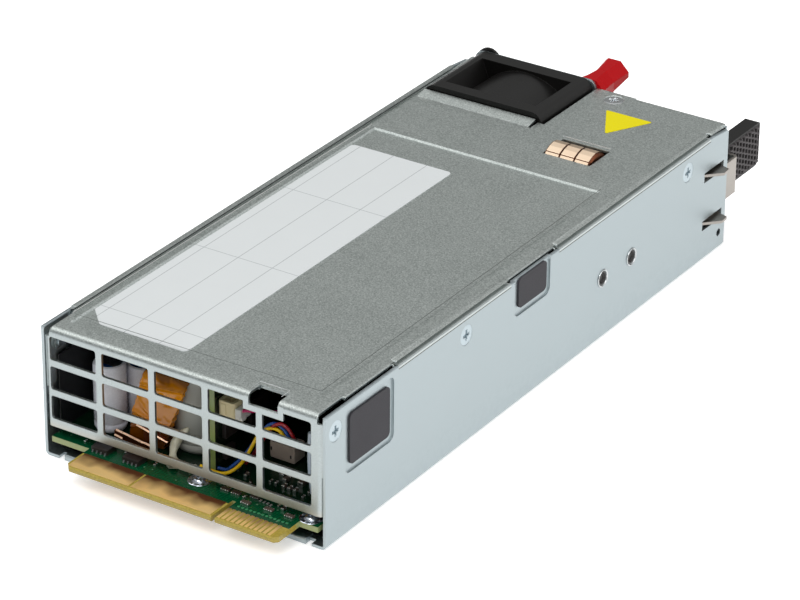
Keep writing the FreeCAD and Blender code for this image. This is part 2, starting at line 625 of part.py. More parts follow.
def cover_screws():
    """Six screws through the walls into the cover, and one down into the rear panel."""
    side_screws = []
    for side, turn in (("-1", 90), ("1", -90)):
        for along in ("side_screw_first", "side_screw_second", "side_screw_third"):
            side_screws.append(countersunk("%s * (half_width - 0.02)" % side, along, "side_screw_level",
                                           FreeCAD.Vector(0, 1, 0), turn))
    keep(group(*side_screws), "side_screws")
    keep(countersunk("top_screw_across", "top_screw_along", "case_height - 0.02",
                     FreeCAD.Vector(1, 0, 0), 180), "rear_top_screw")


def side_pads():
    """Two thin pads stuck into the pressed seats of the right wall."""
    places = [("pad_one_start", "pad_one_length", "pad_one_bottom", "pad_one_bottom + pad_one_height"),
              ("pad_two_start", "pad_two_length", "pad_two_bottom", "wall_top - 0.2")]
    pads = []
    for start, length, bottom, top in places:
        pad = new_body("pad")
        outline = sketch(pad, "YZ", "half_width - recess_depth")
        rectangle(outline, start, bottom, "%s + %s" % (start, length), top)
        add(pad, outline, "pad_thickness")
        soften(pad, "pad_corner", lambda e: spans(e, 0))
        pads.append(pad)
    keep(group(*pads), "side_pads")


def stickers():
    """The blank rating label in its field and the blank triangle near the vent."""
    label = new_body("label")
    outline = sketch(label, "XY", "case_height - panel_depth")
    polygon(outline, [("-label_left + label_cut", "label_start"),
                      ("-label_left + label_width", "label_start"),
                      ("-label_left + label_width", "label_start + label_length"),
                      ("-label_left", "label_start + label_length"),
                      ("-label_left", "label_start + label_cut")])
    add(label, outline, "label_thickness")
    soften(label, "label_corner", lambda e: spans(e, 2))
    keep(label, "rating_label")

    triangle = new_body("triangle")
    outline = sketch(triangle, "XY", "case_height")
    polygon(outline, [("sticker_across", "sticker_near"),
                      ("sticker_across + sticker_side / 2", "sticker_near + sticker_depth"),
                      ("sticker_across - sticker_side / 2", "sticker_near + sticker_depth")])
    add(triangle, outline, "label_thickness")
    soften(triangle, "sticker_corner", lambda e: spans(e, 2))
    keep(triangle, "triangle_sticker")


def contact_fingers():
    """Three arched earthing fingers of one thin strip, spot-welded under the plate."""
    strip = new_body("strip")
    end = "finger_start + finger_run"
    arch = ((0.12, 0.3), (0.3, 0.75), (0.5, 1.0), (0.7, 0.85), (0.88, 0.3), (1.0, -0.35))
    crest = [("finger_start + %g * finger_run" % along, "case_height + %g * finger_rise" % rise)
             for along, rise in arch]
    profile = sketch(strip, "YZ", "finger_left")
    polygon(profile, [("finger_start - finger_base", "plate_under"), ("finger_start", "plate_under")] + crest
            + [(y, z + " - finger_metal") for y, z in reversed(crest)]
            + [("finger_start + finger_metal", "plate_under - finger_metal"),
               ("finger_start - finger_base", "plate_under - finger_metal")])
    add(strip, profile, "2 * finger_pitch + finger_width")
    gaps = sketch(strip, "XY", "case_height + finger_rise + 1")
    for i in ("1", "2"):
        rectangle(gaps, "finger_left + %s * finger_pitch - (finger_pitch - finger_width)" % i, "finger_start",
                  "finger_left + %s * finger_pitch" % i, end + " + 1")
    carve(strip, gaps, "metal + finger_rise + 2", -1)
    keep(strip, "contact_fingers")


def insulator_sheet():
    """Black plastic film under the board and up its left edge."""
    film = new_body("film")
    left = "board_left + 0.2 + sheet_plastic"
    profile = sketch(film, "XZ", "hem_length + 0.3")
    polygon(profile, [("-(%s)" % left, "metal + sheet_height"), ("-(%s)" % left, "metal + 0.1"),
                      ("wall_inner - tray_bend", "metal + 0.1"),
                      ("wall_inner - tray_bend", "metal + 0.1 + sheet_plastic"),
                      ("-board_left - 0.2", "metal + 0.1 + sheet_plastic"),
                      ("-board_left - 0.2", "metal + sheet_height")])
    add(film, profile, "board_end - hem_length")
    holes = sketch(film, "XY", "metal + 0.1")
    for across, along in POSTS:
        circle(holes, across, along, "standoff_radius + 0.3")
    carve(film, holes, "sheet_plastic")
    keep(film, "insulator_film")


# ---------------------------------------------------------------- rear panel

def rear_panel():
    """Rear panel with the stamped fan guard, the inlet's cut-out and three flanges."""
    panel = new_body("panel")
    outline = sketch(panel, "XZ", "panel_front")
    edge = "wall_inner - panel_side_gap"
    low = "metal + 0.1"
    high = "plate_under - 0.1"
    polygon(outline, [("-(%s)" % edge, low), (edge, low), (edge, "strip_bottom - window_gap"),
                      ("latch_window", "strip_bottom - window_gap"),
                      ("latch_window", "strip_top + window_gap"), (edge, "strip_top + window_gap"),
                      (edge, high), ("fan_across + fan_size / 2 + 0.8", high),
                      ("fan_across + fan_size / 2 + 0.8", "tab_rise"),
                      ("fan_across - fan_size / 2 - 0.6", "tab_rise"),
                      ("fan_across - fan_size / 2 - 0.6", high), ("-(%s)" % edge, high)])
    add(panel, outline, "metal")
    soften(panel, "tab_corner", lambda e: spans(e, 1) and near(e.CenterOfMass.z, size("tab_rise")))

    floor_flange = sketch(panel, "XZ", "panel_front - panel_flange")
    rectangle(floor_flange, "inlet_across - panel_flange - 4", low, "inlet_across + panel_flange + 4",
              "metal * 2 + 0.1")
    add(panel, floor_flange, "panel_flange + metal / 2")
    top_flange = sketch(panel, "XZ", "panel_front - panel_flange")
    rectangle(top_flange, "top_screw_across - 5", "plate_under - metal - 0.1", "top_screw_across + 5", high)
    add(panel, top_flange, "panel_flange + metal / 2")
    side_flange = sketch(panel, "XZ", "panel_front - panel_flange")
    rectangle(side_flange, "-wall_inner + 0.1", "panel_flange", "-wall_inner + 0.1 + metal",
              "panel_flange * 2")
    add(panel, side_flange, "panel_flange + metal / 2")

    cutouts = sketch(panel, "XZ", "panel_front")
    polygon(cutouts, inlet_outline("inlet_wall + inlet_fit"))
    circle(cutouts, "inlet_across", "light_level", "light_radius + inlet_fit")
    for level in FOOT_SCREWS:
        circle(cutouts, "foot_screw_across", level, "pan_shank + screw_fit")
    for side in ("-1", "1"):
        circle(cutouts, "fan_across + %s * fan_hole_pitch / 2" % side,
               "fan_level - %s * fan_hole_pitch / 2" % side, "fan_hole")
    carve(panel, cutouts, "metal")
    floor_rivets = sketch(panel, "XY", low)
    for across in PANEL_RIVETS:
        circle(floor_rivets, across, "panel_front - panel_flange / 2", "rivet_radius")
    carve(panel, floor_rivets, "metal")
    screw = sketch(panel, "XY", "plate_under")
    circle(screw, "top_screw_across", "top_screw_along", "screw_head - metal + screw_fit")
    carve(panel, screw, "metal * 2", -1)
    wall_rivet = sketch(panel, "YZ", "-wall_inner")
    circle(wall_rivet, "panel_front - panel_flange / 2", "panel_rivet_level", "rivet_radius")
    carve(panel, wall_rivet, "metal * 2")

    rings = []
    for ring in range(int(size("guard_rings"))):
        inner = "guard_inner + %d * (guard_slot + guard_bar)" % ring
        rings.append(tube("fan_across", "panel_front - 1", "fan_level", inner + " + guard_slot", inner,
                          "metal + 2", "y"))
    spokes = []
    for turn in (45, -45):
        spoke = block("0", "0", "0", "fan_size", "metal + 2", "guard_spoke")
        spoke.Placement.Rotation = FreeCAD.Rotation(FreeCAD.Vector(0, 1, 0), turn)
        lean = math.sqrt(0.5)
        place(spoke, "fan_across - %g * fan_size / 2 - %g * guard_spoke / 2"
              % (lean, lean * (1 if turn > 0 else -1)), "panel_front - 1",
              "fan_level + %g * fan_size / 2 - %g * guard_spoke / 2" % (lean * (1 if turn > 0 else -1), lean))
        spokes.append(spoke)
    keep(cut(panel, cut(fuse(*rings), *spokes)), "rear_panel")


FOOT_SCREWS = ("foot_bottom + foot_screw_inset", "foot_top - foot_screw_inset")


def inlet_outline(margin):
    """The mains socket's outline, grown by a margin: a rectangle with two cut corners."""
    left = "inlet_across - socket_width / 2 - (%s)" % margin
    right = "inlet_across + socket_width / 2 + (%s)" % margin
    low = "inlet_level - socket_height / 2 - (%s)" % margin
    high = "inlet_level + socket_height / 2 + (%s)" % margin
    return [(left, low), (right, low), (right, high + " - socket_cut"), (right + " - socket_cut", high),
            (left + " + socket_cut", high), (left, high + " - socket_cut")]


def panel_rivets():
    """Rivets from the floor and the left wall into the panel's flanges."""
    rivets = []
    for across in PANEL_RIVETS:
        stem = rod(across, "panel_front - panel_flange / 2", "0.1", "rivet_radius - screw_fit",
                   "2 * metal + 0.1")
        head = rod(across, "panel_front - panel_flange / 2", "2 * metal + 0.1", "rivet_head", "rivet_dome")
        rivets.append(fuse(stem, head))
    stem = rod("-half_width + 0.1", "panel_front - panel_flange / 2", "panel_rivet_level",
               "rivet_radius - screw_fit", "2 * metal + 0.1", "x")
    head = rod("-wall_inner + metal + 0.1", "panel_front - panel_flange / 2", "panel_rivet_level",
               "rivet_head", "rivet_dome", "x")
    rivets.append(fuse(stem, head))
    keep(group(*rivets), "panel_rivets")


def mains_inlet():
    """Moulded inlet with its flange behind the panel, and three blades through its floor."""
    moulding = new_body("moulding")
    nose = sketch(moulding, "XZ", "panel_rear + inlet_proud")
    polygon(nose, inlet_outline("inlet_wall"))
    add(moulding, nose, "socket_depth + inlet_back", -1)
    flange = sketch(moulding, "XZ", "panel_front")
    polygon(flange, inlet_outline("inlet_wall + inlet_flange"))
    add(moulding, flange, "flange_thick", -1)
    socket = sketch(moulding, "XZ", "panel_rear + inlet_proud")
    polygon(socket, inlet_outline("0"))
    carve(moulding, socket, "socket_depth", -1)
    soften(moulding, "metal / 2", lambda e: near(e.BoundBox.YMin, size("panel_rear") + size("inlet_proud"))
           and near(e.BoundBox.YMax, size("panel_rear") + size("inlet_proud")), "Chamfer")
    slots = []
    blades = []
    for across, level in (("-pin_pitch", "-pin_drop"), ("0", "pin_drop"), ("pin_pitch", "-pin_drop")):
        for pieces in (slots, blades):
            pieces.append(block("inlet_across + %s - pin_width / 2" % across,
                                "socket_floor - inlet_back - pin_tail",
                                "inlet_level + %s - pin_height / 2" % level,
                                "pin_width", "inlet_back + pin_tail + pin_length", "pin_height"))
    keep(cut(moulding, *slots), "inlet_body")
    tipped = [rounded(blade, "magnet_wall", lambda e: near(e.BoundBox.YMin, e.BoundBox.YMax)
                      and e.CenterOfMass.y > size("panel_front") - 10) for blade in blades]
    keep(group(*tipped), "inlet_pins")


def status_light():
    """Clear light pipe pushed through the panel above the inlet."""
    pipe = rod("inlet_across", "panel_rear + light_proud - light_length", "light_level", "light_radius",
               "light_length", "y")
    collar = rod("inlet_across", "panel_front - 1", "light_level", "light_radius + 0.6", "1", "y")
    lens = rounded(fuse(pipe, collar), "magnet_wall",
                   lambda e: near(e.CenterOfMass.y, size("panel_rear") + size("light_proud")))
    keep(lens, "status_light")


# ---------------------------------------------------------------- handles and latch

def red_grip():
    """Fixed finger grip: a waisted loft, hooked over the finger, on a screwed foot."""
    grip = new_body("grip")
    sections = []
    for along, width, low, high in (("panel_rear", "grip_root", "grip_bottom", "grip_top"),
                                    ("panel_rear + root_step", "grip_root - root_step / 2",
                                     "grip_bottom + palm_place", "grip_top"),
                                    ("panel_rear + palm_place", "grip_waist", "grip_palm", "grip_top"),
                                    ("panel_rear + grip_reach", "grip_tip", "tip_bottom", "tip_top")):
        drawing = sketch(grip, "XZ", along)
        left = "grip_across - (%s) / 2" % width
        right = "grip_across + (%s) / 2" % width
        polygon(drawing, [(left + " + grip_cut / 3", low), (right + " - grip_cut / 3", low),
                          (right, low + " + grip_cut / 3"), (right, high + " - grip_cut"),
                          (right + " - grip_cut", high), (left + " + grip_cut / 3", high),
                          (left, high + " - grip_cut / 3"), (left, low + " + grip_cut / 3")])
        sections.append(drawing)
    doc.recompute()
    loft = grip.newObject("PartDesign::AdditiveLoft", "Loft")
    loft.Profile = sections[3]
    loft.Sections = [sections[2], sections[1], sections[0]]
    loft.Ruled = True
    doc.recompute()
    foot = sketch(grip, "XZ", "panel_rear")
    rectangle(foot, "foot_screw_across + 2.05 - foot_width", "foot_bottom", "foot_screw_across + 2.05",
              "foot_top")
    add(grip, foot, "foot_thick")
    holes = sketch(grip, "XZ", "panel_rear")
    for level in FOOT_SCREWS:
        circle(holes, "foot_screw_across", level, "pan_shank + screw_fit")
    carve(grip, holes, "foot_thick")
    keep(grip, "red_grip")

    screws = []
    for level in FOOT_SCREWS:
        head = rod("foot_screw_across", "panel_rear + foot_thick", level, "pan_head - 0.2", "pan_height", "y")
        stem = rod("foot_screw_across", "panel_front - 1.5", level, "pan_shank", "foot_thick + metal + 1.6",
                   "y")
        screws.append(fuse(head, stem))
    keep(group(*screws), "grip_screws")


def latch():
    """Leaf spring on two eyelets, the hooked arm welded to it, and the thumb grip on the arm."""
    leaf = block("wall_inner - leaf_thick", "leaf_start", "strip_bottom", "leaf_thick",
                 "arm_start + leaf_weld - leaf_start", "strip_top - strip_bottom")
    holes = []
    eyelets = []
    for along in ("eyelet_first", "eyelet_first + eyelet_pitch"):
        holes.append(rod("wall_inner - 1", along, "strip_level", "eyelet_outer", "2", "x"))
        barrel = rod("wall_inner - leaf_thick", along, "strip_level", "eyelet_outer - 0.02",
                     "leaf_thick + metal", "x")
        outer = rod("half_width", along, "strip_level", "eyelet_flange", "eyelet_lip", "x")
        inner = rod("wall_inner - leaf_thick - eyelet_lip", along, "strip_level", "eyelet_flange",
                    "eyelet_lip", "x")
        bore = rod("wall_inner - 2", along, "strip_level", "eyelet_bore", "5", "x")
        eyelets.append(cut(fuse(barrel, outer, inner), bore))
    keep(cut(leaf, *holes), "latch_leaf")
    keep(group(*eyelets), "latch_eyelets")

    arm = new_body("arm")
    plan = sketch(arm, "XY", "strip_bottom")
    polygon(plan, [("arm_inner", "arm_start"), ("arm_outer", "arm_start"), ("arm_outer", "arm_end"),
                   ("tongue_right", "arm_end"), ("tongue_right", "tongue_end"),
                   ("tongue_left", "tongue_end"), ("tongue_left", "arm_end - arm_thick"),
                   ("arm_inner", "arm_end - arm_thick")])
    add(arm, plan, "strip_top - strip_bottom")
    soften(arm, "arm_bend", lambda e: spans(e, 2) and near(e.CenterOfMass.x, size("arm_outer"))
           and near(e.CenterOfMass.y, size("arm_end")))
    soften(arm, "arm_bend - arm_thick", lambda e: spans(e, 2) and near(e.CenterOfMass.x, size("arm_inner"))
           and near(e.CenterOfMass.y, size("arm_end") - size("arm_thick")))
    plate = sketch(arm, "YZ", "arm_outer")
    rectangle(plate, "hook_start - 1.5", "ear_bottom", "hook_end + 1", "ear_top")
    add(arm, plate, "arm_thick", -1)
    for level in ("ear_bottom", "ear_top - arm_thick"):
        ear = sketch(arm, "XY", level)
        polygon(ear, [("arm_outer - 0.2", "hook_start"), ("half_width + hook_reach", "hook_crest"),
                      ("half_width + hook_reach - 0.2", "hook_tip"), ("arm_outer - 0.2", "hook_end")])
        add(arm, ear, "arm_thick")
    keep(arm, "latch_arm")

    thumb = new_body("thumb")
    pad_shape = sketch(thumb, "YZ", "thumb_face")
    rectangle(pad_shape, "thumb_start", "thumb_bottom", "thumb_end", "thumb_top")
    add(thumb, pad_shape, "thumb_thick", -1)
    soften(thumb, "thumb_corner", lambda e: spans(e, 0) and near(e.CenterOfMass.y, size("thumb_end"))
           and near(e.CenterOfMass.z, size("thumb_bottom")))
    soften(thumb, "thumb_corner / 3", lambda e: spans(e, 0) and near(e.CenterOfMass.y, size("thumb_end"))
           and near(e.CenterOfMass.z, size("thumb_top")))
    keep(cut(thumb, arm), "thumb_grip")


# ---------------------------------------------------------------- fan

def fan():
    """Frame with scooped sides, ducted bore and motor base; rotor, magnet, shaft, bearings, stator."""
    frame = new_body("frame")
    square = sketch(frame, "XZ", "fan_front")
    rectangle(square, "fan_across - fan_size / 2", "fan_level - fan_size / 2",
              "fan_across + fan_size / 2", "fan_level + fan_size / 2")
    add(frame, square, "fan_depth")
    soften(frame, "fan_corner", lambda e: spans(e, 1))
    scoops = sketch(frame, "XZ", "fan_front + front_flange")
    for turn in range(4):
        outer = "(fan_size / 2 + 1)"
        corners = [("-scoop_half", outer), ("scoop_half", outer),
                   ("scoop_foot", "(fan_size / 2 - scoop_depth)"),
                   ("-scoop_foot", "(fan_size / 2 - scoop_depth)")]
        cos, sin = ((1, 0), (0, 1), (-1, 0), (0, -1))[turn]
        polygon(scoops, [("fan_across + (%d) * (%s) - (%d) * %s" % (cos, x, sin, z),
                          "fan_level + (%d) * (%s) + (%d) * %s" % (sin, x, cos, z)) for x, z in corners])
    carve(frame, scoops, "fan_depth - front_flange - rear_flange")
    duct = sketch(frame, "XZ", "fan_front + front_flange / 2")
    circle(duct, "fan_across", "fan_level", "fan_bore + duct_wall")
    add(frame, duct, "fan_depth - front_flange / 2 - rear_flange / 2")
    bore = sketch(frame, "XZ", "fan_front")
    circle(bore, "fan_across", "fan_level", "fan_bore")
    for across in ("-1", "1"):
        for up in ("-1", "1"):
            circle(bore, "fan_across + %s * fan_hole_pitch / 2" % across,
                   "fan_level + %s * fan_hole_pitch / 2" % up, "fan_hole")
    carve(frame, bore, "fan_depth")
    for half, flat in (("fan_size / 2 - front_flange / 4", "strut_width / 2"),
                       ("strut_width / 2", "fan_size / 2 - front_flange / 4")):
        struts = sketch(frame, "XZ", "fan_rear - strut_depth")
        rectangle(struts, "fan_across - (%s)" % half, "fan_level - (%s)" % flat,
                  "fan_across + (%s)" % half, "fan_level + (%s)" % flat)
        add(frame, struts, "strut_depth")
    base = sketch(frame, "XZ", "fan_rear - strut_depth")
    circle(base, "fan_across", "fan_level", "motor_base")
    add(frame, base, "strut_depth")
    sleeve = sketch(frame, "XZ", "fan_rear - strut_depth")
    circle(sleeve, "fan_across", "fan_level", "bearing_outer + bearing_wall")
    circle(sleeve, "fan_across", "fan_level", "bearing_outer")
    add(frame, sleeve, "hub_length - strut_depth", -1)
    keep(frame, "fan_frame")

    blank = new_body("rotor_blank")
    place(blank, "fan_across", "fan_front + hub_inset", "fan_level")
    hub = sketch(blank, "XY")
    polygon(hub, [("fan_shaft_radius", "0"), ("hub_radius", "0"), ("hub_radius", "hub_length"),
                  ("hub_radius - hub_wall", "hub_length"), ("hub_radius - hub_wall", "hub_wall * 1.5"),
                  ("fan_shaft_radius", "hub_wall * 1.5")])
    turned = blank.newObject("PartDesign::Revolution", "Hub")
    turned.Profile = hub
    turned.ReferenceAxis = (hub, ["V_Axis"])
    turned.Angle = 360
    doc.recompute()
    root = sketch(blank, "XY", "hub_radius - hub_wall / 2")
    polygon(root, blade_section("root_swing", "blade_inset", "hub_length - blade_inset"))
    tip = sketch(blank, "XY", "fan_bore + 1")
    polygon(tip, blade_section("tip_swing", "blade_inset", "blade_inset + blade_reach * 0.85"))
    doc.recompute()
    blade = blank.newObject("PartDesign::AdditiveLoft", "Blade")
    blade.Profile = root
    blade.Sections = [tip]
    doc.recompute()
    blades = blank.newObject("PartDesign::PolarPattern", "Blades")
    blades.Originals = [blade]
    axis = [face for face in blank.Origin.OriginFeatures if face.Role == "Y_Axis"][0]
    blades.Axis = (axis, [""])
    blades.Angle = 360
    blades.Occurrences = int(size("blade_count"))
    blank.Tip = blades
    doc.recompute()
    swept = rod("fan_across", "fan_front", "fan_level", "fan_bore - blade_gap", "fan_depth", "y")
    rotor = doc.addObject("Part::Common", "Rotor")
    rotor.Base = blank
    rotor.Tool = swept
    keep(rotor, "fan_rotor")

    hub_front = "fan_front + hub_inset"
    keep(tube("fan_across", hub_front + " + hub_wall * 1.5", "fan_level", "hub_radius - hub_wall",
              "hub_radius - hub_wall - magnet_wall", "hub_length - hub_wall * 2.5", "y"), "fan_magnet")
    keep(rod("fan_across", hub_front, "fan_level", "fan_shaft_radius", "hub_length + 0.6", "y"), "fan_shaft")
    first = "fan_rear - hub_length"
    bearings = [tube("fan_across", along, "fan_level", "bearing_outer", "fan_shaft_radius + bearing_fit",
                     "bearing_length", "y")
                for along in (first, "fan_rear - strut_depth - 2 * bearing_length")]
    keep(group(*bearings), "fan_bearings")
    keep(tube("fan_across", first + " + 3", "fan_level", "hub_radius - hub_wall - magnet_wall - air_gap",
              "bearing_outer + bearing_wall + bearing_fit", "hub_length / 2", "y"), "fan_stator")


def blade_section(swing, start, end):
    """A slanted strip: the blade's cut at one radius, leaning by its swing."""
    return [("-%s / 2" % swing, start), ("-%s / 2 + blade_thickness" % swing, start),
            ("%s / 2 + blade_thickness" % swing, end), ("%s / 2" % swing, end)]


def fan_rivets():
    """Black push rivets through the panel into two opposite corners of the fan."""
    rivets = []
    for side in ("-1", "1"):
        across = "fan_across + %s * fan_hole_pitch / 2" % side
        level = "fan_level - %s * fan_hole_pitch / 2" % side
        rim = rod(across, "panel_rear", level, "push_head", "push_dome / 3", "y")
        crown = doc.addObject("Part::Cone", "Crown")
        bind(crown, Radius1="push_head", Radius2="push_shank", Height="push_dome * 2 / 3")
        crown.Placement.Rotation = FreeCAD.Rotation(FreeCAD.Vector(1, 0, 0), -90)
        place(crown, across, "panel_rear + push_dome / 3", level)
        shank = rod(across, "panel_front - push_length", level, "push_shank - screw_fit",
                    "push_length + metal + 0.5", "y")
        rivets.append(fuse(rim, crown, shank))
    keep(group(*rivets), "fan_rivets")


# ---------------------------------------------------------------- boards

def main_board():
    """The main board, whose bevelled tongues are the output connector."""
    board = new_body("board")
    outline = sketch(board, "XY", "board_base")
    front = "-board_front"
    tip = "-tongue_reach"
    polygon(outline, [("-board_left", "board_end"), ("board_right", "board_end"), ("board_right", front),
                      ("signal_right", front), ("signal_right", tip), ("signal_left", tip),
                      ("signal_left", front + " - 1"), ("power_right", front + " - 1"),
                      ("power_right", tip), ("-power_left", tip), ("-power_left", front),
                      ("-board_left", front)])
    add(board, outline, "board_thickness")
    soften(board, "tongue_corner", lambda e: spans(e, 2) and near(e.CenterOfMass.y, -size("tongue_reach"))
           and near(e.CenterOfMass.x, -size("power_left"), size("signal_right")), "Chamfer")
    soften(board, "bevel", lambda e: spans(e, 0) and near(e.CenterOfMass.y, -size("tongue_reach")), "Chamfer")
    holes = sketch(board, "XY", "board_base")
    for across, along in POSTS:
        circle(holes, across, along, "post_hole")
    carve(board, holes, "board_thickness")
    keep(board, "main_board")

    near_edge = "-tongue_reach + pad_margin"
    lands = []
    for level in ("board_top", "board_base - gold"):
        lands.append(block("-power_left + pad_margin", near_edge, level,
                           "power_left + pad_split - split_width / 2 - pad_margin", "pad_length", "gold"))
        lands.append(block("pad_split + split_width / 2", near_edge, level,
                           "power_right - pad_split - split_width / 2 - pad_margin", "pad_length", "gold"))
    keep(group(*lands), "power_lands")
    fingers = []
    for finger in range(int(size("signal_count"))):
        for level in ("board_top", "board_base - gold"):
            fingers.append(block("signal_first + %d * signal_pitch - signal_width / 2" % finger, near_edge,
                                 level, "signal_width", "signal_length", "gold"))
    keep(group(*fingers), "signal_fingers")


def on_board(across, along, width, depth, height):
    """A block that stands on the main board, by its left near corner."""
    return block(across, along, "board_top", width, depth, height)


def capacitor(across, along, radius, height):
    """A sleeved can standing on the board."""
    return rod(across, along, "board_top", radius, height)


def parts_behind_grille():
    """What shows through the grille: cans, taped coil, copper straps, chips and the riser board."""
    cans = [("-30.5", "11.3", "0"), ("-25.1", "18.3", "2"), ("-34.0", "20.2", "0"), ("-27.5", "27.3", "1")]
    keep(group(*[capacitor(x, y, "cap_radius", "cap_height - " + low) for x, y, low in cans]),
         "output_capacitors")
    keep(capacitor("tall_cap_across", "tall_cap_along", "tall_cap_radius", "tall_cap_height"),
         "tall_capacitor")

    coil = new_body("coil")
    taper = sketch(coil, "XZ", "coil_near")
    polygon(taper, [("coil_left", "board_top"), ("coil_right", "board_top"),
                    ("coil_right", "board_top + coil_height"),
                    ("coil_left + coil_taper", "board_top + coil_height")])
    add(coil, taper, "coil_depth")
    soften(coil, "coil_round", lambda e: not near(e.CenterOfMass.z, size("board_top"))
           and (spans(e, 1) or near(e.CenterOfMass.y, size("coil_near"))))
    keep(coil, "taped_coil")
    keep(on_board("small_core_left", "coil_near + coil_depth + 0.2", "small_core_width",
                  "small_core_depth", "small_core_height"), "output_core")

    strap = new_body("strap")
    flat = sketch(strap, "XZ", "coil_near - strap_thick")
    polygon(flat, [("coil_left - 3.3", "board_top"), ("coil_left - 3.3", "board_top + 2.2"),
                   ("coil_left + 5.9", "board_top + 1.4"), ("coil_left + 5.9", "board_top + 5"),
                   ("coil_left + 4.6", "board_top + 5.2"), ("coil_left + 4.6", "board_top + 6.7"),
                   ("coil_right + 0.2", "board_top + 4.7"), ("coil_right + 0.2", "board_top + 3.1"),
                   ("coil_right - 4.6", "board_top + 4.2"), ("coil_right - 4.6", "board_top")])
    add(strap, flat, "strap_thick")
    keep(strap, "copper_straps")

    bead = doc.addObject("Part::Cone", "Bead")
    bind(bead, Radius1="bead_radius", Radius2="bead_radius / 2", Height="bead_height")
    place(bead, "bead_across", "tall_cap_along - tall_cap_radius - bead_radius", "board_top")
    keep(bead, "glue_bead")

    chips = [on_board("-power_left + 1.1", "-board_front - 0.6", "chip_width", "chip_depth", "chip_height"),
             on_board("-power_left + 10.8", "-board_front - 0.6", "chip_width", "chip_depth", "chip_height")]
    joints = []
    for across in ("3.5", "board_right - joint_radius - 0.6"):
        joint = doc.addObject("Part::Cone", "Joint")
        bind(joint, Radius1="joint_radius", Radius2="joint_radius / 2", Height="joint_height")
        joints.append(place(joint, across, "joint_radius - 0.2", "board_top"))
    keep(group(*joints), "solder_joints")

    keep(on_board("riser_across", "riser_near", "board_thickness", "riser_length", "riser_height"),
         "riser_board")
    face = "riser_across + board_thickness"
    keep(group(block(face, "riser_near + 1.2", "board_top + 16.5", "socket_block", "6.4", "6.6")),
         "wire_socket")
    keep(block(face + " + socket_block", "riser_near + 1.8", "board_top + 17.2", "2.6", "5.2", "5.2"),
         "wire_plug")
    riser_chips = [block(face, "riser_near + %g" % along, "board_top + %g" % level, "1.2", "%g" % deep,
                         "%g" % tall)
                   for along, level, deep, tall in ((3, 8.5, 5, 4), (3, 2.5, 4, 3.2), (14, 6, 8, 8),
                                                    (27, 10, 7, 5), (40, 5, 9, 6))]
    keep(group(*chips, *riser_chips), "chips")
    keep(on_board("relay_across - relay_width / 2", "relay_near", "relay_width", "relay_depth",
                  "relay_height"), "sense_relay")
    small = [(24, 9, 1.6, 0.9), (27, 9.4, 1.6, 0.9), (30, 9.8, 1.6, 0.9), (22, 13, 2, 1.3), (26, 14, 3, 1.6),
             (31, 14.5, 2.2, 1.3), (34, 12, 1.3, 2), (11, 10, 1.6, 0.9), (12, 15, 4, 4), (36, 22, 2, 4)]
    keep(group(*[on_board("%g" % x, "%g" % y, "%g" % w, "%g" % d, "0.8") for x, y, w, d in small]),
         "chip_parts")


# ---------------------------------------------------------------- wires

def wire(label, points, radius="wire_radius"):
    """A round lead along straight runs joined by tangent arcs, each as large as its runs allow."""
    path = [FreeCAD.Vector(*point) for point in points]
    edges = []
    start = path[0]
    tightest = 1e9
    for i in range(1, len(path) - 1):
        back = (path[i - 1] - path[i])
        ahead = (path[i + 1] - path[i])
        turn = math.pi - back.getAngle(ahead)
        run = 0.45 * min(back.Length, ahead.Length)
        bend = run / math.tan(turn / 2)
        tightest = min(tightest, bend)
        back.normalize()
        ahead.normalize()
        enter = path[i] + back * run
        leave = path[i] + ahead * run
        middle = path[i] + (back + ahead).normalize() * (bend / math.cos(turn / 2) - bend)
        edges.append(Part.LineSegment(start, enter).toShape())
        edges.append(Part.Arc(enter, middle, leave).toShape())
        start = leave
    edges.append(Part.LineSegment(start, path[-1]).toShape())
    spine = Part.Wire(edges)
    ring = Part.Wire(Part.Circle(path[0], path[1] - path[0], size(radius)).toShape())
    item = doc.addObject("Part::Feature", "Lead")
    item.Shape = spine.makePipeShell([ring], True, False)
    share = item.Shape.Volume / (math.pi * size(radius) ** 2 * spine.Length)
    print("%s: length %.1f, tightest bend %.1f, volume share %.3f" % (label, spine.Length, tightest, share))
    return item


def inner_wires():
    """Short leads from the riser's plug, from the inlet's blades and from the fan."""
    top = size("board_top")
    plug = size("riser_across") + size("board_thickness") + size("socket_block") + 2.6
    along = size("riser_near")
    for label, across, level, swing, reach, landing in (
            ("yellow_lead", 2.8, 20.0, 0.0, 9.0, (-4.6, 3.2)),
            ("blue_lead", 4.0, 21.0, 1.4, 10.5, (-3.2, 5.6)),
            ("red_lead", 5.6, 19.6, 3.0, 13.0, (-0.8, 8.6))):
        keep(wire(label, [(plug, along + across, top + level), (plug + 3.0, along + across, top + level),
                          (plug + reach, along + 2.0 + swing, top + 16.0),
                          (plug + 1.0 + swing, along + 1.4 + swing, top + 4.0),
                          (plug + landing[0], along + landing[1], top + 0.8)]), label)
    tail = size("socket_floor") - size("inlet_back") - size("pin_tail")
    middle = size("inlet_across")
    level = size("inlet_level")
    drop = size("pin_drop")
    leads = [wire("inlet lead", [(middle + across, tail, level + rise),
                                 (middle + across, tail - 8.0, level + rise),
                                 (middle + across, tail - 8.0, top)])
             for across, rise in ((-size("pin_pitch"), -drop), (0, drop), (size("pin_pitch"), -drop))]
    keep(group(*leads), "inlet_leads")
    fan_face = size("fan_front")
    fan_plug = fan_face - 9.4
    keep(wire("fan_lead", [(-5, fan_face, top + 2), (-5, fan_face - 3.0, top + 2),
                           (-5, fan_plug + 3.0, top + 4.0), (-5, fan_plug, top + 4.0)]), "fan_lead")
    keep(on_board("-8", "fan_front - 13.4", "6", "4", "5"), "fan_plug")


# ---------------------------------------------------------------- power parts further in

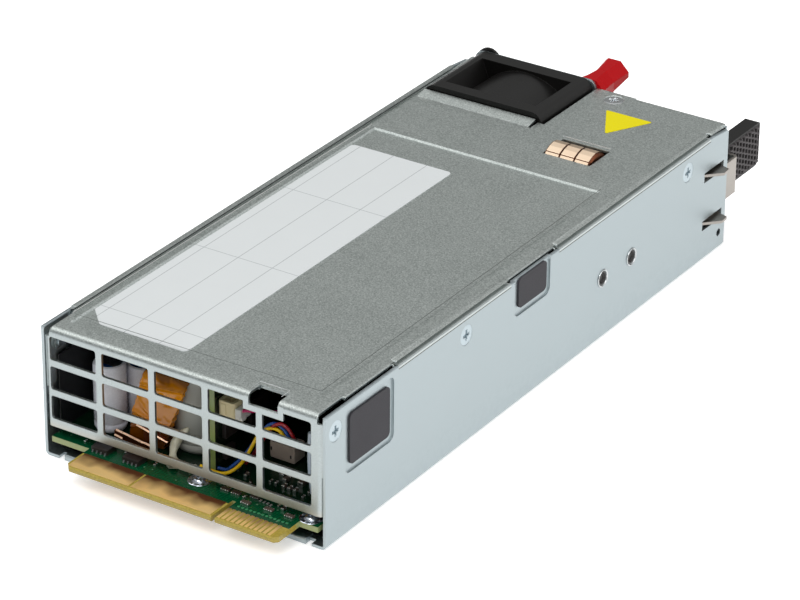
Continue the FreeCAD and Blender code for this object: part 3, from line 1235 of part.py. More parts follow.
def power_parts():
    """Transformer, chokes, reservoir capacitor, heatsink with its devices, and the line filter."""
    keep(rod("bulk_across", "bulk_near", "board_top + bulk_radius", "bulk_radius", "bulk_length", "y"),
         "reservoir_capacitor")

    middle = "core_near + core_depth / 2"
    window = block("core_across - winding_radius - 0.3", "core_near", "board_top + core_cap",
                   "2 * winding_radius + 0.6", "core_depth", "core_height - 2 * core_cap")
    leg = rod("core_across", middle, "board_top + core_cap", "core_leg", "core_height - 2 * core_cap")
    core = on_board("core_across - core_width / 2", "core_near", "core_width", "core_depth", "core_height")
    keep(cut(core, cut(window, leg)), "transformer_core")
    keep(tube("core_across", middle, "board_top + core_cap", "winding_radius", "core_leg",
              "core_height - 2 * core_cap"), "transformer_winding")

    for label, across, along, radius, thick in (
            ("boost_choke", "choke_across", "choke_along", "toroid_radius", "toroid_wire"),
            ("line_filter_choke", "filter_across", "filter_along", "filter_radius", "filter_wire")):
        keep(tube("%s - %s" % (across, thick), along, "board_top + %s + %s" % (radius, thick),
                  "%s + %s" % (radius, thick), "%s - %s" % (radius, thick), "2 * %s" % thick, "x"), label)

    plate = on_board("sink_across", "sink_near", "sink_thick", "sink_length", "sink_height")
    gap = "(sink_height - fin_thick) / (sink_fins - 1)"
    fins = [block("sink_across + sink_thick", "sink_near", "board_top + %d * %s" % (fin, gap),
                  "fin_reach", "sink_length", "fin_thick") for fin in range(int(size("sink_fins")))]
    keep(fuse(plate, *fins), "heatsink")
    devices = [on_board("sink_across - device_thick", "sink_near + %s" % start, "device_thick",
                        "device_width", "device_height") for start in ("0.5", "device_width + 1.5")]
    bridge = on_board("2", "146", "20", "4", "19")
    keep(group(*devices, bridge), "power_devices")
    keep(on_board("8", "152.5", "17", "9", "15"), "filter_capacitor")
    fuse_tube = rod("32", "138", "board_top + 2.6", "2.6", "20", "y")
    keep(fuse_tube, "mains_fuse")


# ---------------------------------------------------------------- build and export

def build():
    chassis_tray()
    top_cover()
    cover_screws()
    side_pads()
    stickers()
    contact_fingers()
    insulator_sheet()
    board_posts()
    rear_panel()
    panel_rivets()
    mains_inlet()
    status_light()
    red_grip()
    latch()
    fan()
    fan_rivets()
    main_board()
    parts_behind_grille()
    inner_wires()
    power_parts()


def export():
    """Stop at anything failed, then write each sub-part's STEP file."""
    doc.recompute()
    failed = [item.Label for item in doc.Objects if "Invalid" in item.State or "Error" in item.State]
    if failed:
        raise ValueError("failed: " + ", ".join(failed))
    os.makedirs("parts", exist_ok=True)
    for node in nodes:
        if node.Shape.isNull() or not node.Shape.isValid():
            raise ValueError(node.Label + " has no valid shape")
        node.Shape.exportStep("parts/%s.step" % node.Label)
    print("%d nodes" % len(nodes))


build()
export()
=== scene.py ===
"""Looks of a hot swap server power supply, dressed over its CAD frame: metres, on the frame's own axes.
Shapes are worked out in millimetres and scaled once, where skin makes the mesh."""
import math

import bmesh
import bpy
import numpy as np
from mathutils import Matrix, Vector


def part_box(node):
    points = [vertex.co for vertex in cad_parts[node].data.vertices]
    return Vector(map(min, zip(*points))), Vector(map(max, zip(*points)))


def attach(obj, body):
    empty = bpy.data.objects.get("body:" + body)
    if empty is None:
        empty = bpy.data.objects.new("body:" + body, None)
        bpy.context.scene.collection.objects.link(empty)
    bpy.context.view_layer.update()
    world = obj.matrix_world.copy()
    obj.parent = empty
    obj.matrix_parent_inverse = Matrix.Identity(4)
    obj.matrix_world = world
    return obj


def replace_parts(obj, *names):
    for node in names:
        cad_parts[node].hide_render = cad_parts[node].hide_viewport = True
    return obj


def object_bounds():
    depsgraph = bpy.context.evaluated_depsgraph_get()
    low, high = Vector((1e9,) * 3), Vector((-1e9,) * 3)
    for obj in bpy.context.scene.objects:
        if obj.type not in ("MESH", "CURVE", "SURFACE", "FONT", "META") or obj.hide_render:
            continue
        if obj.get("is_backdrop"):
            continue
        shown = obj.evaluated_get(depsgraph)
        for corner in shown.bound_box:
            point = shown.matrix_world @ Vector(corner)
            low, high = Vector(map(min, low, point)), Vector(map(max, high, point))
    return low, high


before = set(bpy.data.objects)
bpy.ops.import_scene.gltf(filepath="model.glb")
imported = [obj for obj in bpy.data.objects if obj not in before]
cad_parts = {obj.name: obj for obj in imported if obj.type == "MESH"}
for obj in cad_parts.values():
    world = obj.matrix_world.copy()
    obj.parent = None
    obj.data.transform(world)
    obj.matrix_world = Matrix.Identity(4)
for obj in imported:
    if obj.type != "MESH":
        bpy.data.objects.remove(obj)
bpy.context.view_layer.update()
MM = 0.001

# Camera: a long lens, a little above the connector end's right-hand corner.
# It stands about a metre away, so the case's long edges converge only slightly.
lens = bpy.data.cameras.new("camera")
lens.lens = 178.1
lens.sensor_width = 36.0
lens.clip_start = 0.05
lens.clip_end = 20.0
camera = bpy.data.objects.new("camera", lens)
camera.location = (0.5075, -0.6860, 0.5023)
camera.rotation_euler = [math.radians(turn) for turn in (62.404, -0.410, 33.097)]
bpy.context.scene.collection.objects.link(camera)
bpy.context.scene.camera = camera
bpy.context.scene.view_settings.view_transform = "Standard"

# Studio: a white floor that keeps the object's shadow, and large soft lamps.
# The room is grey at eye level, bright overhead and towards +X: the flat top mirrors the grey, its bends
# the bright parts.


def linear(code):
    """sRGB hex to linear light: c / 12.92 below 0.04045, else ((c + 0.055) / 1.055) to the 2.4."""
    values = np.array([int(code[i:i + 2], 16) for i in (1, 3, 5)]) / 255.0
    out = np.where(values < 0.04045, values / 12.92, ((values + 0.055) / 1.055) ** 2.4)
    return (float(out[0]), float(out[1]), float(out[2]), 1.0)


def plug(item, links):
    """Sets a node's inputs, by name or number: each takes a value, a socket, or a node's first output."""
    for key, value in links.items():
        source = value.outputs[0] if isinstance(value, bpy.types.Node) else value
        if isinstance(source, bpy.types.NodeSocket):
            item.id_data.links.new(source, item.inputs[key])
        else:
            item.inputs[key].default_value = source


def add(tree, kind, links=None, **settings):
    """Adds one shader node: settings are its properties, links what its inputs take."""
    item = tree.nodes.new("ShaderNode" + kind)
    for key, value in settings.items():
        setattr(item, key, value)
    plug(item, links or {})
    return item


floor_paint = bpy.data.materials.new("white matt paper")
floor_paint.use_nodes = True
tree = floor_paint.node_tree
tree.nodes.clear()
path = add(tree, "LightPath").outputs
seen = add(tree, "Math", {0: path["Is Camera Ray"], 1: path["Is Glossy Ray"]}, operation="MAXIMUM")
seen = add(tree, "Math", {0: seen, 1: path["Is Transmission Ray"]}, operation="MAXIMUM")
paper = add(tree, "BsdfDiffuse", {"Color": linear("#f4f4f4")})
lift = add(tree, "Math", {0: seen, 1: 0.43}, operation="MULTIPLY")
glow = add(tree, "Emission", {"Color": (1, 1, 1, 1), "Strength": lift})
add(tree, "OutputMaterial", {"Surface": add(tree, "AddShader", {0: paper, 1: glow})})

half, level = 6, -0.0002
floor_mesh = bpy.data.meshes.new("floor")
floor_mesh.from_pydata([(-half, -half, level), (half, -half, level), (half, half, level),
                        (-half, half, level)], [], [(0, 1, 2, 3)])
floor_mesh.materials.append(floor_paint)
floor = bpy.data.objects.new("floor", floor_mesh)
bpy.context.scene.collection.objects.link(floor)
floor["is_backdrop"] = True

world = bpy.data.worlds.new("studio")
bpy.context.scene.world = world
world.use_nodes = True
tree = world.node_tree
tree.nodes.clear()
path = add(tree, "LightPath").outputs
split = add(tree, "SeparateXYZ", {0: add(tree, "TexCoord").outputs["Generated"]}).outputs
window = add(tree, "Math", {0: split["X"], 1: 0.15}, operation="SUBTRACT")
window = add(tree, "Math", {0: window, 1: 0.0}, operation="MAXIMUM")
window = add(tree, "Math", {0: window, 1: 0.9, 2: split["Z"]}, operation="MULTIPLY_ADD")
room = add(tree, "ValToRGB", {"Fac": window})
walls, windows = room.color_ramp.elements
walls.position = 0.49
walls.color = (0.25, 0.254, 0.25, 1)
windows.position = 0.80
windows.color = (1.0, 1.0, 1.0, 1)
seen = add(tree, "MixRGB", {"Fac": path["Is Camera Ray"], 1: room, 2: (1, 1, 1, 1)})
sky = add(tree, "Background", {"Color": seen, "Strength": 1.0})
add(tree, "OutputWorld", {"Surface": sky})
aim = Vector((0, 0.1, 0))


def softbox(name, place, width, height, watts, tint):
    """A rectangular lamp whose face looks at the middle of the case."""
    data = bpy.data.lights.new(name, "AREA")
    data.shape = "RECTANGLE"
    data.size = width
    data.size_y = height
    data.energy = watts
    data.color = tint
    lamp = bpy.data.objects.new(name, data)
    lamp.location = place
    lamp.rotation_euler = (aim - Vector(place)).to_track_quat("-Z", "Y").to_euler()
    bpy.context.scene.collection.objects.link(lamp)


softbox("key", (0.25, -0.9, 1.5), 0.8, 0.8, 9.4, (1.0, 0.99, 0.97))
softbox("side", (1.5, 0.1, 0.9), 0.9, 0.7, 3.6, (0.98, 0.99, 1.0))
softbox("left", (-1.2, -0.2, 1.2), 0.8, 0.8, 3.6, (1.0, 1.0, 1.0))

# Chassis tray: 0.8 mm galvanised steel sheet, folded to a floor and two walls.
# Zinc crystals give it a fine mottle; the rolled sheet's faint streaks run along the case.
fold_aside, fold_level = 40.2, 35.9
# Heights over which a warm reflection of the gold lands is painted on the steel.
gold_reflection_low, gold_reflection_high = 7.5, 11


def opened(paint):
    """A material's node tree, its shader and its object coordinates."""
    tree = paint.node_tree
    return tree, tree.nodes["Principled BSDF"], add(tree, "TexCoord").outputs["Object"]


def galvanised(name, dark, pale, upright, foot, grain, rough, dent_depth):
    """Hot-dip galvanised sheet: two zinc greys mixed by a fine mottle and a coarser cloudiness, with streaks
    stretched along the rolling direction.  Upright faces, drawn over the folding tool, are wiped to one even
    grey.  Low down, beside the board, a warm reflection of the gold lands is painted in.  Edges catch the
    light, most of all the bends along both sides at the top."""
    paint = bpy.data.materials.new(name)
    paint.use_nodes = True
    tree, shader, place = opened(paint)
    split = add(tree, "SeparateXYZ", {0: place}).outputs
    mottle = add(tree, "TexNoise", {"Vector": place, "Scale": 1 / (grain * MM), "Detail": 4.0,
                                    "Roughness": 0.65})
    cloud = add(tree, "TexNoise", {"Vector": place, "Scale": 1 / (14 * MM), "Detail": 3.0})
    rolled = add(tree, "Mapping", {"Vector": place, "Scale": (1.0, 0.04, 1.0)})
    streak = add(tree, "TexNoise", {"Vector": rolled, "Scale": 1 / (0.7 * MM), "Detail": 2.0})
    part = add(tree, "Math", {0: mottle, 1: 0.90}, operation="MULTIPLY")
    part = add(tree, "Math", {0: cloud, 1: 0.07, 2: part}, operation="MULTIPLY_ADD")
    part = add(tree, "Math", {0: streak, 1: 0.03, 2: part}, operation="MULTIPLY_ADD")
    spread = add(tree, "MapRange", {0: part, 1: 0.35, 2: 0.65})
    tone = add(tree, "MixRGB", {0: spread, 1: linear(dark), 2: linear(pale)})
    facing = add(tree, "SeparateXYZ", {0: add(tree, "NewGeometry").outputs["Normal"]}).outputs
    flat = add(tree, "Math", {0: facing["Z"]}, operation="ABSOLUTE")
    wiped = add(tree, "MapRange", {0: flat, 1: 0.3, 2: 0.8, 3: 0.75, 4: 0.0})
    tone = add(tree, "MixRGB", {0: wiped, 1: tone, 2: linear(upright)})
    # Painted reflection of the gold lands, mixed in low down.
    low = add(tree, "MapRange", {0: split["Z"], 1: gold_reflection_low * MM, 2: gold_reflection_high * MM, 3: 0.7, 4: 0.0})
    tone = add(tree, "MixRGB", {0: low, 1: tone, 2: linear(foot)})
    gloss = add(tree, "MapRange", {0: mottle, 1: 0.3, 2: 0.7, 3: rough - 0.06, 4: rough + 0.06})
    edge = add(tree, "Bevel", {"Radius": 0.22 * MM}, samples=4)
    bend = add(tree, "Bevel", {"Radius": 0.85 * MM}, samples=8)
    aside = add(tree, "Math", {0: split["X"]}, operation="ABSOLUTE")
    aside = add(tree, "Math", {0: aside, 1: fold_aside * MM}, operation="GREATER_THAN")
    above = add(tree, "Math", {0: split["Z"], 1: fold_level * MM}, operation="GREATER_THAN")
    bent = add(tree, "Math", {0: aside, 1: above}, operation="MULTIPLY")
    rounded = add(tree, "MixRGB", {0: bent, 1: edge, 2: bend})
    dent = add(tree, "Bump", {"Height": mottle, "Strength": 0.10, "Distance": dent_depth * MM,
                              "Normal": rounded})
    plug(shader, {"Base Color": tone, "Roughness": gloss, "Normal": dent, "Metallic": 1.0})
    return paint


def dress(paint, *nodes):
    """Puts one material on carried-over CAD nodes."""
    for name in nodes:
        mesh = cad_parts[name].data
        mesh.materials.clear()
        mesh.materials.append(paint)


wall_steel = galvanised("galvanised steel wall", dark="#a0aaad", pale="#b2bcbf", upright="#a9b3b6",
                        foot="#a9b3b6", grain=1.4, rough=0.44, dent_depth=0.02)
dress(wall_steel, "chassis_tray", "rear_panel")

# Top cover: the same galvanised sheet from another coil, a shade greyer, folded down into the grille.
# Its mottle is finer and stronger.
# Low on its grille the cover carries a warm painted reflection of the gold lands.
cover_steel = galvanised("galvanised steel cover", dark="#9da5a2", pale="#d6dcd9", upright="#a4adaf",
                         foot="#bdb29e", grain=0.42, rough=0.42, dent_depth=0.05)
dress(cover_steel, "top_cover")

# Cover screws: zinc-plated steel, countersunk, cold-headed with a cross recess.
# Six sit flush in the walls' dimpled holes and one goes down into the rear panel's flange.
wall_face = 43.0
screw_level, screw_rows = 31.6, (4.4, 63.6, 177.4)
axis_order = {"z": [0, 1, 2], "x": [2, 0, 1], "y": [1, 2, 0]}


def moulded(name, colour, rough, grain=0.5, depth=0.02, mix=0.12, specular=0.5):
    """Injection-moulded plastic: one colour that shifts a little over the surface, with a fine spark-eroded
    grain."""
    paint = bpy.data.materials.new(name)
    paint.use_nodes = True
    tree, shader, place = opened(paint)
    fine = add(tree, "TexNoise", {"Vector": place, "Scale": 1 / (grain * MM), "Detail": 3.0})
    wide = add(tree, "TexNoise", {"Vector": place, "Scale": 1 / (9 * MM), "Detail": 2.0})
    middle = linear(colour)[:3]
    low = tuple(c * (1 - mix) for c in middle) + (1.0,)
    high = tuple(min(1.0, c * (1 + mix)) for c in middle) + (1.0,)
    tone = add(tree, "MixRGB", {0: wide, 1: low, 2: high})
    gloss = add(tree, "MapRange", {0: fine, 1: 0.3, 2: 0.7, 3: rough - 0.05, 4: rough + 0.05})
    edge = add(tree, "Bevel", {"Radius": 0.2 * MM}, samples=4)
    dent = add(tree, "Bump", {"Height": fine, "Strength": 0.25, "Distance": depth * MM, "Normal": edge})
    plug(shader, {"Base Color": tone, "Roughness": gloss, "Normal": dent, "Specular IOR Level": specular})
    return paint


def bare_metal(name, colour, rough, grain=0.4, mix=0.1):
    """Bare or plated metal: its reflectance colour with faint tarnish and uneven polish."""
    paint = moulded(name, colour, rough, grain, 0.01, mix)
    plug(paint.node_tree.nodes["Principled BSDF"], {"Metallic": 1.0})
    return paint


def shaded_recess(paint, shade, reach):
    """Paints shade into a material where its own shape closes it in, as in a driver's recess: the mix follows
    how much of the half-sphere of a given reach is blocked."""
    tree, shader = paint.node_tree, paint.node_tree.nodes["Principled BSDF"]
    plain = shader.inputs["Base Color"].links[0].from_socket
    closed = add(tree, "AmbientOcclusion", {"Distance": reach * MM}, samples=8, only_local=True)
    part = add(tree, "MapRange", {0: closed.outputs["AO"], 1: 0.35, 2: 0.85})
    plug(shader, {"Base Color": add(tree, "MixRGB", {0: part, 1: linear(shade), 2: plain})})
    return paint


def in_mm(box):
    """A box's low and high corners in millimetres."""
    return np.array(box) / MM


def lattice(x, y, z):
    """Three coordinates, stretched to one shape, as a grid of points."""
    return np.stack(np.broadcast_arrays(x, y, z), axis=-1)


def skin(name, grids, paint, body="case", sharp=35, closed=True):
    """One mesh from grids of points in mm, each (rows, columns, 3): quads between neighbouring rows
    and columns, the last column joined to the first where closed; doubles merged, faces turned out."""
    points, quads, start = [], [], 0
    for grid in grids:
        rows, columns = grid.shape[:2]
        index = start + np.arange(rows * columns).reshape(rows, columns)
        following = np.roll(index, -1, axis=1)
        if not closed:
            index, following = index[:, :-1], following[:, :-1]
        quads.append(np.stack([index[:-1], following[:-1], following[1:], index[1:]], axis=-1).reshape(-1, 4))
        points.append(grid.reshape(-1, 3))
        start += rows * columns
    mesh = bpy.data.meshes.new(name)
    mesh.from_pydata((np.concatenate(points) * MM).tolist(), [], np.concatenate(quads).tolist())
    work = bmesh.new()
    work.from_mesh(mesh)
    bmesh.ops.remove_doubles(work, verts=work.verts, dist=1e-6)
    bmesh.ops.recalc_face_normals(work, faces=work.faces)
    work.to_mesh(mesh)
    work.free()
    mesh.shade_smooth()
    mesh.set_sharp_from_angle(angle=math.radians(sharp))
    mesh.materials.append(paint)
    piece = bpy.data.objects.new(name, mesh)
    bpy.context.scene.collection.objects.link(piece)
    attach(piece, body)
    return piece


def turned(profile, centre, axis="z", steps=32):
    """A profile of (radius, height) rows in mm spun round an axis through a centre:
    x = r cos a, y = r sin a, z = height, then the axes are put in order."""
    profile = np.array(profile, float)
    angle = np.arange(steps) * 2 * math.pi / steps
    radius, height = profile[:, :1], profile[:, 1:]
    spun = lattice(radius * np.cos(angle), radius * np.sin(angle), height)
    return spun[..., axis_order[axis]] + np.array(centre, float)


def screw(centre, outward, axis, head=2.83, shank=1.42):
    """Countersunk screw: z = -0.7 cross - 0.12 (r / head)^6 over its head, then a 45 degree cone and the
    shank.  cross is 1 where r < 1.25 mm within 0.32 mm of either diameter, and falls to 0 over 0.3 and
    0.14 mm."""
    angle = np.arange(96) * 2 * math.pi / 96
    ring = np.linspace(0, head, 34)[:, None]
    across, along = ring * np.cos(angle), ring * np.sin(angle)
    bar = np.minimum(abs(across), abs(along))
    cross = np.clip((0.46 - bar) / 0.14, 0, 1) * np.clip((1.55 - ring) / 0.3, 0, 1)
    top = lattice(across, along, -0.7 * cross - 0.12 * (ring / head) ** 6)
    below = [(head, -0.12), (head, -0.2), (shank, -1.6), (shank, -3.1), (0, -3.1)]
    whole = np.concatenate([top, turned(below, (0, 0, 0), steps=96)])
    whole[..., 2] *= outward
    return whole[..., axis_order[axis]] + np.array(centre, float)


# The screws' cross recesses carry painted shade.
zinc = shaded_recess(bare_metal("blue zinc plated screw with painted recess shade", "#b7c3c8", 0.4, mix=0.04), "#8c9ca4", 0.8)
heads = [screw((side * (wall_face - 0.02), along, screw_level), side, "x")
         for side in (-1, 1) for along in screw_rows]
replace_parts(skin("side_screw_heads", heads, zinc), "side_screws")
bright = shaded_recess(bare_metal("bright zinc plated screw with painted recess shade", "#e6eaec", 0.12, mix=0.04), "#7b8388", 0.8)
low, high = in_mm(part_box("rear_top_screw"))
spot = ((low[0] + high[0]) / 2, (low[1] + high[1]) / 2, high[2])
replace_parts(skin("rear_screw_head", [screw(spot, 1, "z")], bright), "rear_top_screw")
dress(zinc, "grip_screws", "board_standoffs", "board_screws", "panel_rivets")

# Side bends of the cover: they close the valley beside the walls, except where the skirt is cut away.
# Below them the seam's shade is painted on the wall as a fine dark line.  A run is a side and the Y where it
# starts and ends.
cover_top = in_mm(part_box("top_cover"))[1][2]
seam_level = 36.05
right_runs = [(1, 32.2, 84.9), (1, 108.8, 189.8)]
runs = right_runs + [(-1, 11.4, 189.8)]


def side_bend(side, first, last):
    """A strip whose height is cover_top - 0.2 u^2, with u from 0 at 40.6 mm aside to 1 over the wall, and
    its ends tucked 0.5 u lower."""
    turn = np.linspace(0, 1, 9)[:, None]
    tuck = 0.5 * np.array([1, 0, 0, 1]) * turn
    along = np.array([first, first + 0.1, last - 0.1, last])
    return lattice(side * (40.6 + 1.62 * turn), along, cover_top - 0.2 * turn ** 2 - tuck)


def rolled_corner(side, first, last):
    """The wall's rolled top corner: its profile swept along the wall between two Y positions.
    On the -X side it stops flush with the wall, which is the widest thing there."""
    profile = np.array([(41.5, 36.99), (42.0, 36.96), (42.5, 36.94), (42.9, 36.92), (43.01, 36.8),
                        (43.015, 36.5), (43.015, 36.12)])
    across = profile[:, :1] if side > 0 else np.minimum(profile[:, :1], wall_face - 0.01)
    return lattice(side * across, np.array([first, last]), profile[:, 1:])


def capped(line, rings):
    """Rings along a line with both ends closed: a first and a last row that shrink to the line's ends."""
    ends = np.repeat(line[[0, -1], None], rings.shape[1], axis=1)
    return np.concatenate([ends[:1], rings, ends[1:]])


def thin_bar(points, across, thick=0.12):
    """A flat bar along a path, for painted lines of light and shade and for thin parts: at each point the
    four corners at plus and minus half the width vector and half the thickness."""
    line, across = np.array(points, float), np.array(across, float)
    normal = np.cross(line[-1] - line[0], across)
    normal *= thick / np.linalg.norm(normal)
    corners = np.stack([across + normal, -across + normal, -across - normal, across - normal]) / 2
    return capped(line, line[:, None] + corners)


skin("cover_side_bends", [side_bend(*run) for run in runs], cover_steel, closed=False)
# The wall's rolled corner is painted paler than the wall, as a highlight along the bend.
skin("rolled_wall_corners", [rolled_corner(*run) for run in runs],
     bare_metal("galvanised bend with painted highlight", "#c3cac9", 0.5), sharp=180, closed=False)
seams = [thin_bar([(wall_face, first, seam_level), (wall_face, last, seam_level)], (0, 0, 0.22), 0.06)
         for _, first, last in right_runs]
skin("cover_seam_lines", seams, moulded("shadowed seam", "#4b4a44", 0.6))

# Pressed field of the cover: its low step is painted as a fine line, with painted shade on the sides
# that face away and a painted highlight on the left side, which faces the light.
# The far side is formed in the sheet itself.
near_right = (35.5, 9.4, cover_top)
shaded = [thin_bar([(34.9, 143.6, cover_top), near_right], (0.2, 0, 0), 0.03),
          thin_bar([near_right, (-38.4, 8.2, cover_top)], (0, 0.2, 0), 0.03)]
skin("pressed_field_shade", shaded, bare_metal("painted shade on pressed step", "#8a908d", 0.45))
shining = thin_bar([(-38.6, 143.6, cover_top), (-39.4, 8.4, cover_top)], (0.3, 0, 0), 0.03)
skin("pressed_field_shine", [shining], bare_metal("painted highlight on pressed step", "#eceeec", 0.4))

# Sheared edges of the cover's openings: a narrow land of bare steel along them, painted near white as a
# highlight.  They run along the finger slot's far side and round the notch over the grille.
slot = [(9.2, 166.8, cover_top), (24.3, 166.8, cover_top)]
notch = [(20.3, 1.6, cover_top), (20.3, 5.25, cover_top), (29.0, 5.25, cover_top), (29.0, 1.8, cover_top)]
skin("sheared_edges", [thin_bar(slot, (0, 0.28, 0)), thin_bar(notch, (0.14, 0.14, 0.06))],
     bare_metal("sheared steel edge with painted highlight", "#eef2f2", 0.3))

# Pads in the right wall: thin black foil with a glued back, each in its pressed seat.
# The rim of each foil is cut clean and catches a little light.
dress(moulded("black pad foil", "#39383c", 0.62, grain=0.35, specular=0.25), "side_pads")

# Rating label: white polyester, left blank but for thin ruled boxes, in the cover's pressed field.
# Its face is satin, and the ruling is printed grey.


def from_middle(tree, along, shift, pitch, middle=0.5):
    """How far a coordinate lies from a repeated line, in pitches: |fract((x + shift) / pitch) - middle|."""
    moved = add(tree, "Math", {0: along, 1: shift * MM}, operation="ADD")
    pitches = add(tree, "Math", {0: moved, 1: 1 / (pitch * MM)}, operation="MULTIPLY")
    part = add(tree, "Math", {0: pitches}, operation="FRACT")
    away = add(tree, "Math", {0: part, 1: middle}, operation="SUBTRACT")
    return add(tree, "Math", {0: away}, operation="ABSOLUTE")


def ruled_label(name, paper, ink, hairline=0.22):
    """White film with printed hairlines across and along: ink where a repeated line is nearer than half a
    hairline."""
    paint = moulded(name, paper, 0.42, mix=0.015, specular=0.3)
    tree, shader, place = opened(paint)
    plain = shader.inputs["Base Color"].links[0].from_socket
    split = add(tree, "SeparateXYZ", {0: place}).outputs
    lines = []
    for axis, pitch, shift in (("X", 10.8, 40.1), ("Y", 41.0, 3.0)):
        away = from_middle(tree, split[axis], shift, pitch)
        lines.append(add(tree, "Math", {0: away, 1: 0.5 * hairline / pitch}, operation="LESS_THAN"))
    inked = add(tree, "Math", {0: lines[0], 1: lines[1]}, operation="MAXIMUM")
    amount = add(tree, "Math", {0: inked, 1: 0.55}, operation="MULTIPLY")
    plug(shader, {"Base Color": add(tree, "MixRGB", {0: amount, 1: plain, 2: linear(ink)})})
    return paint


dress(ruled_label("white polyester label film", "#ced2d3", "#6a7174"), "rating_label")

# Blank triangle: yellow vinyl with a satin face, stuck on the cover near its rear end.
# Nothing is printed on it.
dress(moulded("yellow vinyl sticker", "#dccf0a", 0.5, mix=0.03, specular=0.15), "triangle_sticker")

# Earthing fingers: beryllium copper strip, half hard, bright.
# Shade is painted brown along the stamped edges and in a line along the crease near the front.


def formed_copper(name, bright, brown, left, pitch, wide, crease):
    """Bright copper with painted shade: brown from 0.22 to 0.10 mm before a finger's stamped edges, which
    repeat along X, and in a thin line along the crease."""
    paint = bare_metal(name, bright, 0.34)
    tree, shader, place = opened(paint)
    plain = shader.inputs["Base Color"].links[0].from_socket
    split = add(tree, "SeparateXYZ", {0: place}).outputs
    away = from_middle(tree, split["X"], -left, pitch, 0.5 * wide / pitch)
    rim = add(tree, "MapRange", {0: away, 1: (0.5 * wide - 0.22) / pitch, 2: (0.5 * wide - 0.10) / pitch})
    line = add(tree, "Math", {0: split["Y"], 1: crease * MM, 2: 0.09 * MM}, operation="COMPARE")
    # Painted shade: brown at the stamped edges and the crease.
    both = add(tree, "Math", {0: rim, 1: line}, operation="MAXIMUM")
    plug(shader, {"Base Color": add(tree, "MixRGB", {0: both, 1: plain, 2: linear(brown)})})
    return paint


dress(formed_copper("beryllium copper", "#ffe0c4", "#5c3420", left=9.5, pitch=4.65, wide=4.4, crease=157.15),
      "contact_fingers")
# The fingers' right side: a dark copper sheet, its brown painted shade.
arch = np.linspace(0, 1, 30)
along = 156.4 + 9.2 * arch
crest = 36.6 + 2.0 * np.sin(math.pi * arch ** 0.9)
web = [lattice(23.2, along, crest - 0.05),
       lattice(23.3 + 0.5 * np.sin(math.pi * arch), along, crest - 0.7),
       lattice(23.4 + 0.3 * arch, along, 36.2)]
skin("finger_side_shade_web", [np.stack(web)], bare_metal("painted shade on copper finger side", "#7a4a34", 0.45), closed=False)

# Film under the boards: black polypropylene, creased up along the left wall.
# It keeps the board's joints off the steel floor.
dress(moulded("black insulating film", "#17181a", 0.36), "insulator_film")

# Mains inlet: black glass-filled nylon, moulded, with nickelled brass blades.
# The status light in the same panel is a pipe of clear acrylic.
dress(moulded("black inlet nylon", "#161616", 0.42), "inlet_body")
dress(bare_metal("nickelled brass blades", "#cfcabb", 0.25), "inlet_pins")
dress(moulded("clear light pipe", "#cfe0d4", 0.15), "status_light")

# Fixed grip: red glass-filled nylon, moulded in one piece with its screwed foot.
# Its face is nearly smooth, so the lamps lie on it as soft streaks.
dress(moulded("red glass-filled nylon", "#a8020a", 0.32, grain=2.0, depth=0.004, mix=0.04, specular=0.12),
      "red_grip")

# Latch: stainless strip, spot-welded arm and barbs, held by two nickelled eyelets.
# The thumb grip is black nylon pushed on the arm's tongue, with a pitted pressing face.
dress(bare_metal("stainless spring steel", "#a29d97", 0.36), "latch_leaf", "latch_arm")
eyelet = bare_metal("nickelled eyelet steel", "#c4c7c8", 0.14)
low, high = in_mm(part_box("latch_eyelets"))
spots = [(low[0], along, (low[2] + high[2]) / 2) for along in (low[1] + 2.6, high[1] - 2.6)]
flange = high[0] - low[0]
rim = [(1.5, 0), (2.0, 0), (2.0, flange - 0.3), (2.52, flange - 0.3), (2.58, flange - 0.15), (2.42, flange),
       (2.25, flange - 0.05), (2.12, flange - 0.2), (1.9, flange - 0.45), (1.5, flange - 0.5), (1.5, 0)]
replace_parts(skin("eyelet_rims", [turned(rim, spot, "x", 64) for spot in spots], eyelet), "latch_eyelets")
# A dark cap down each eyelet's throat, painted shadow where the hole lies in shade.
throat = [(1.99, flange - 0.36), (2.0, flange - 0.32), (1.6, flange - 0.36), (1.2, flange - 0.9),
          (0, flange - 0.9)]
skin("eyelet_throat_shadows", [turned(throat, spot, "x", 64) for spot in spots],
     moulded("painted shadow in eyelet throat", "#141210", 0.3))
dress(moulded("black latch nylon", "#0f0f0e", 0.42, specular=0.35), "thumb_grip")


def pitted(low, high, columns, rows, deep, samples=10, bulge=0.60, rim=0.25):
    """A field with slanted pits in staggered columns, and its flat back.  The height is bulge -
    deep * clip(2.2 - 2.2 q), where q is the larger of |s| / 0.80 and |t| / 0.66, with s and t from -1 to 1
    across a cell, t sheared by 0.35 s.  It falls to the grip's own face at the rim."""
    across = np.linspace(0, columns, columns * samples + 1)
    up = np.linspace(0, rows, rows * samples + 1)
    column = np.minimum(across.astype(int), columns - 1)
    s = 2 * (across % 1.0)[:, None] - 1
    t = 2 * ((up + 0.5 * (column[:, None] % 2)) % 1.0) - 1 + 0.35 * s
    q = np.maximum(abs(s) / 0.80, abs(t) / 0.66)
    near = np.minimum.outer(np.minimum(across, columns - across), np.minimum(up, rows - up))
    height = (bulge - deep * np.clip(2.2 - 2.2 * q, 0, 1)) * np.clip(near / rim, 0, 1)
    y = low[1] + (high[1] - low[1]) * across[:, None] / columns
    z = low[2] + (high[2] - low[2]) * up / rows
    back = high[0] - 0.05
    return lattice(back + height, y, z), lattice(back, y, z)


low, high = in_mm(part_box("thumb_grip"))
field = pitted(low + (0, 3.9, 0.6), high - (0, 0.5, 0.6), columns=10, rows=7, deep=0.8)
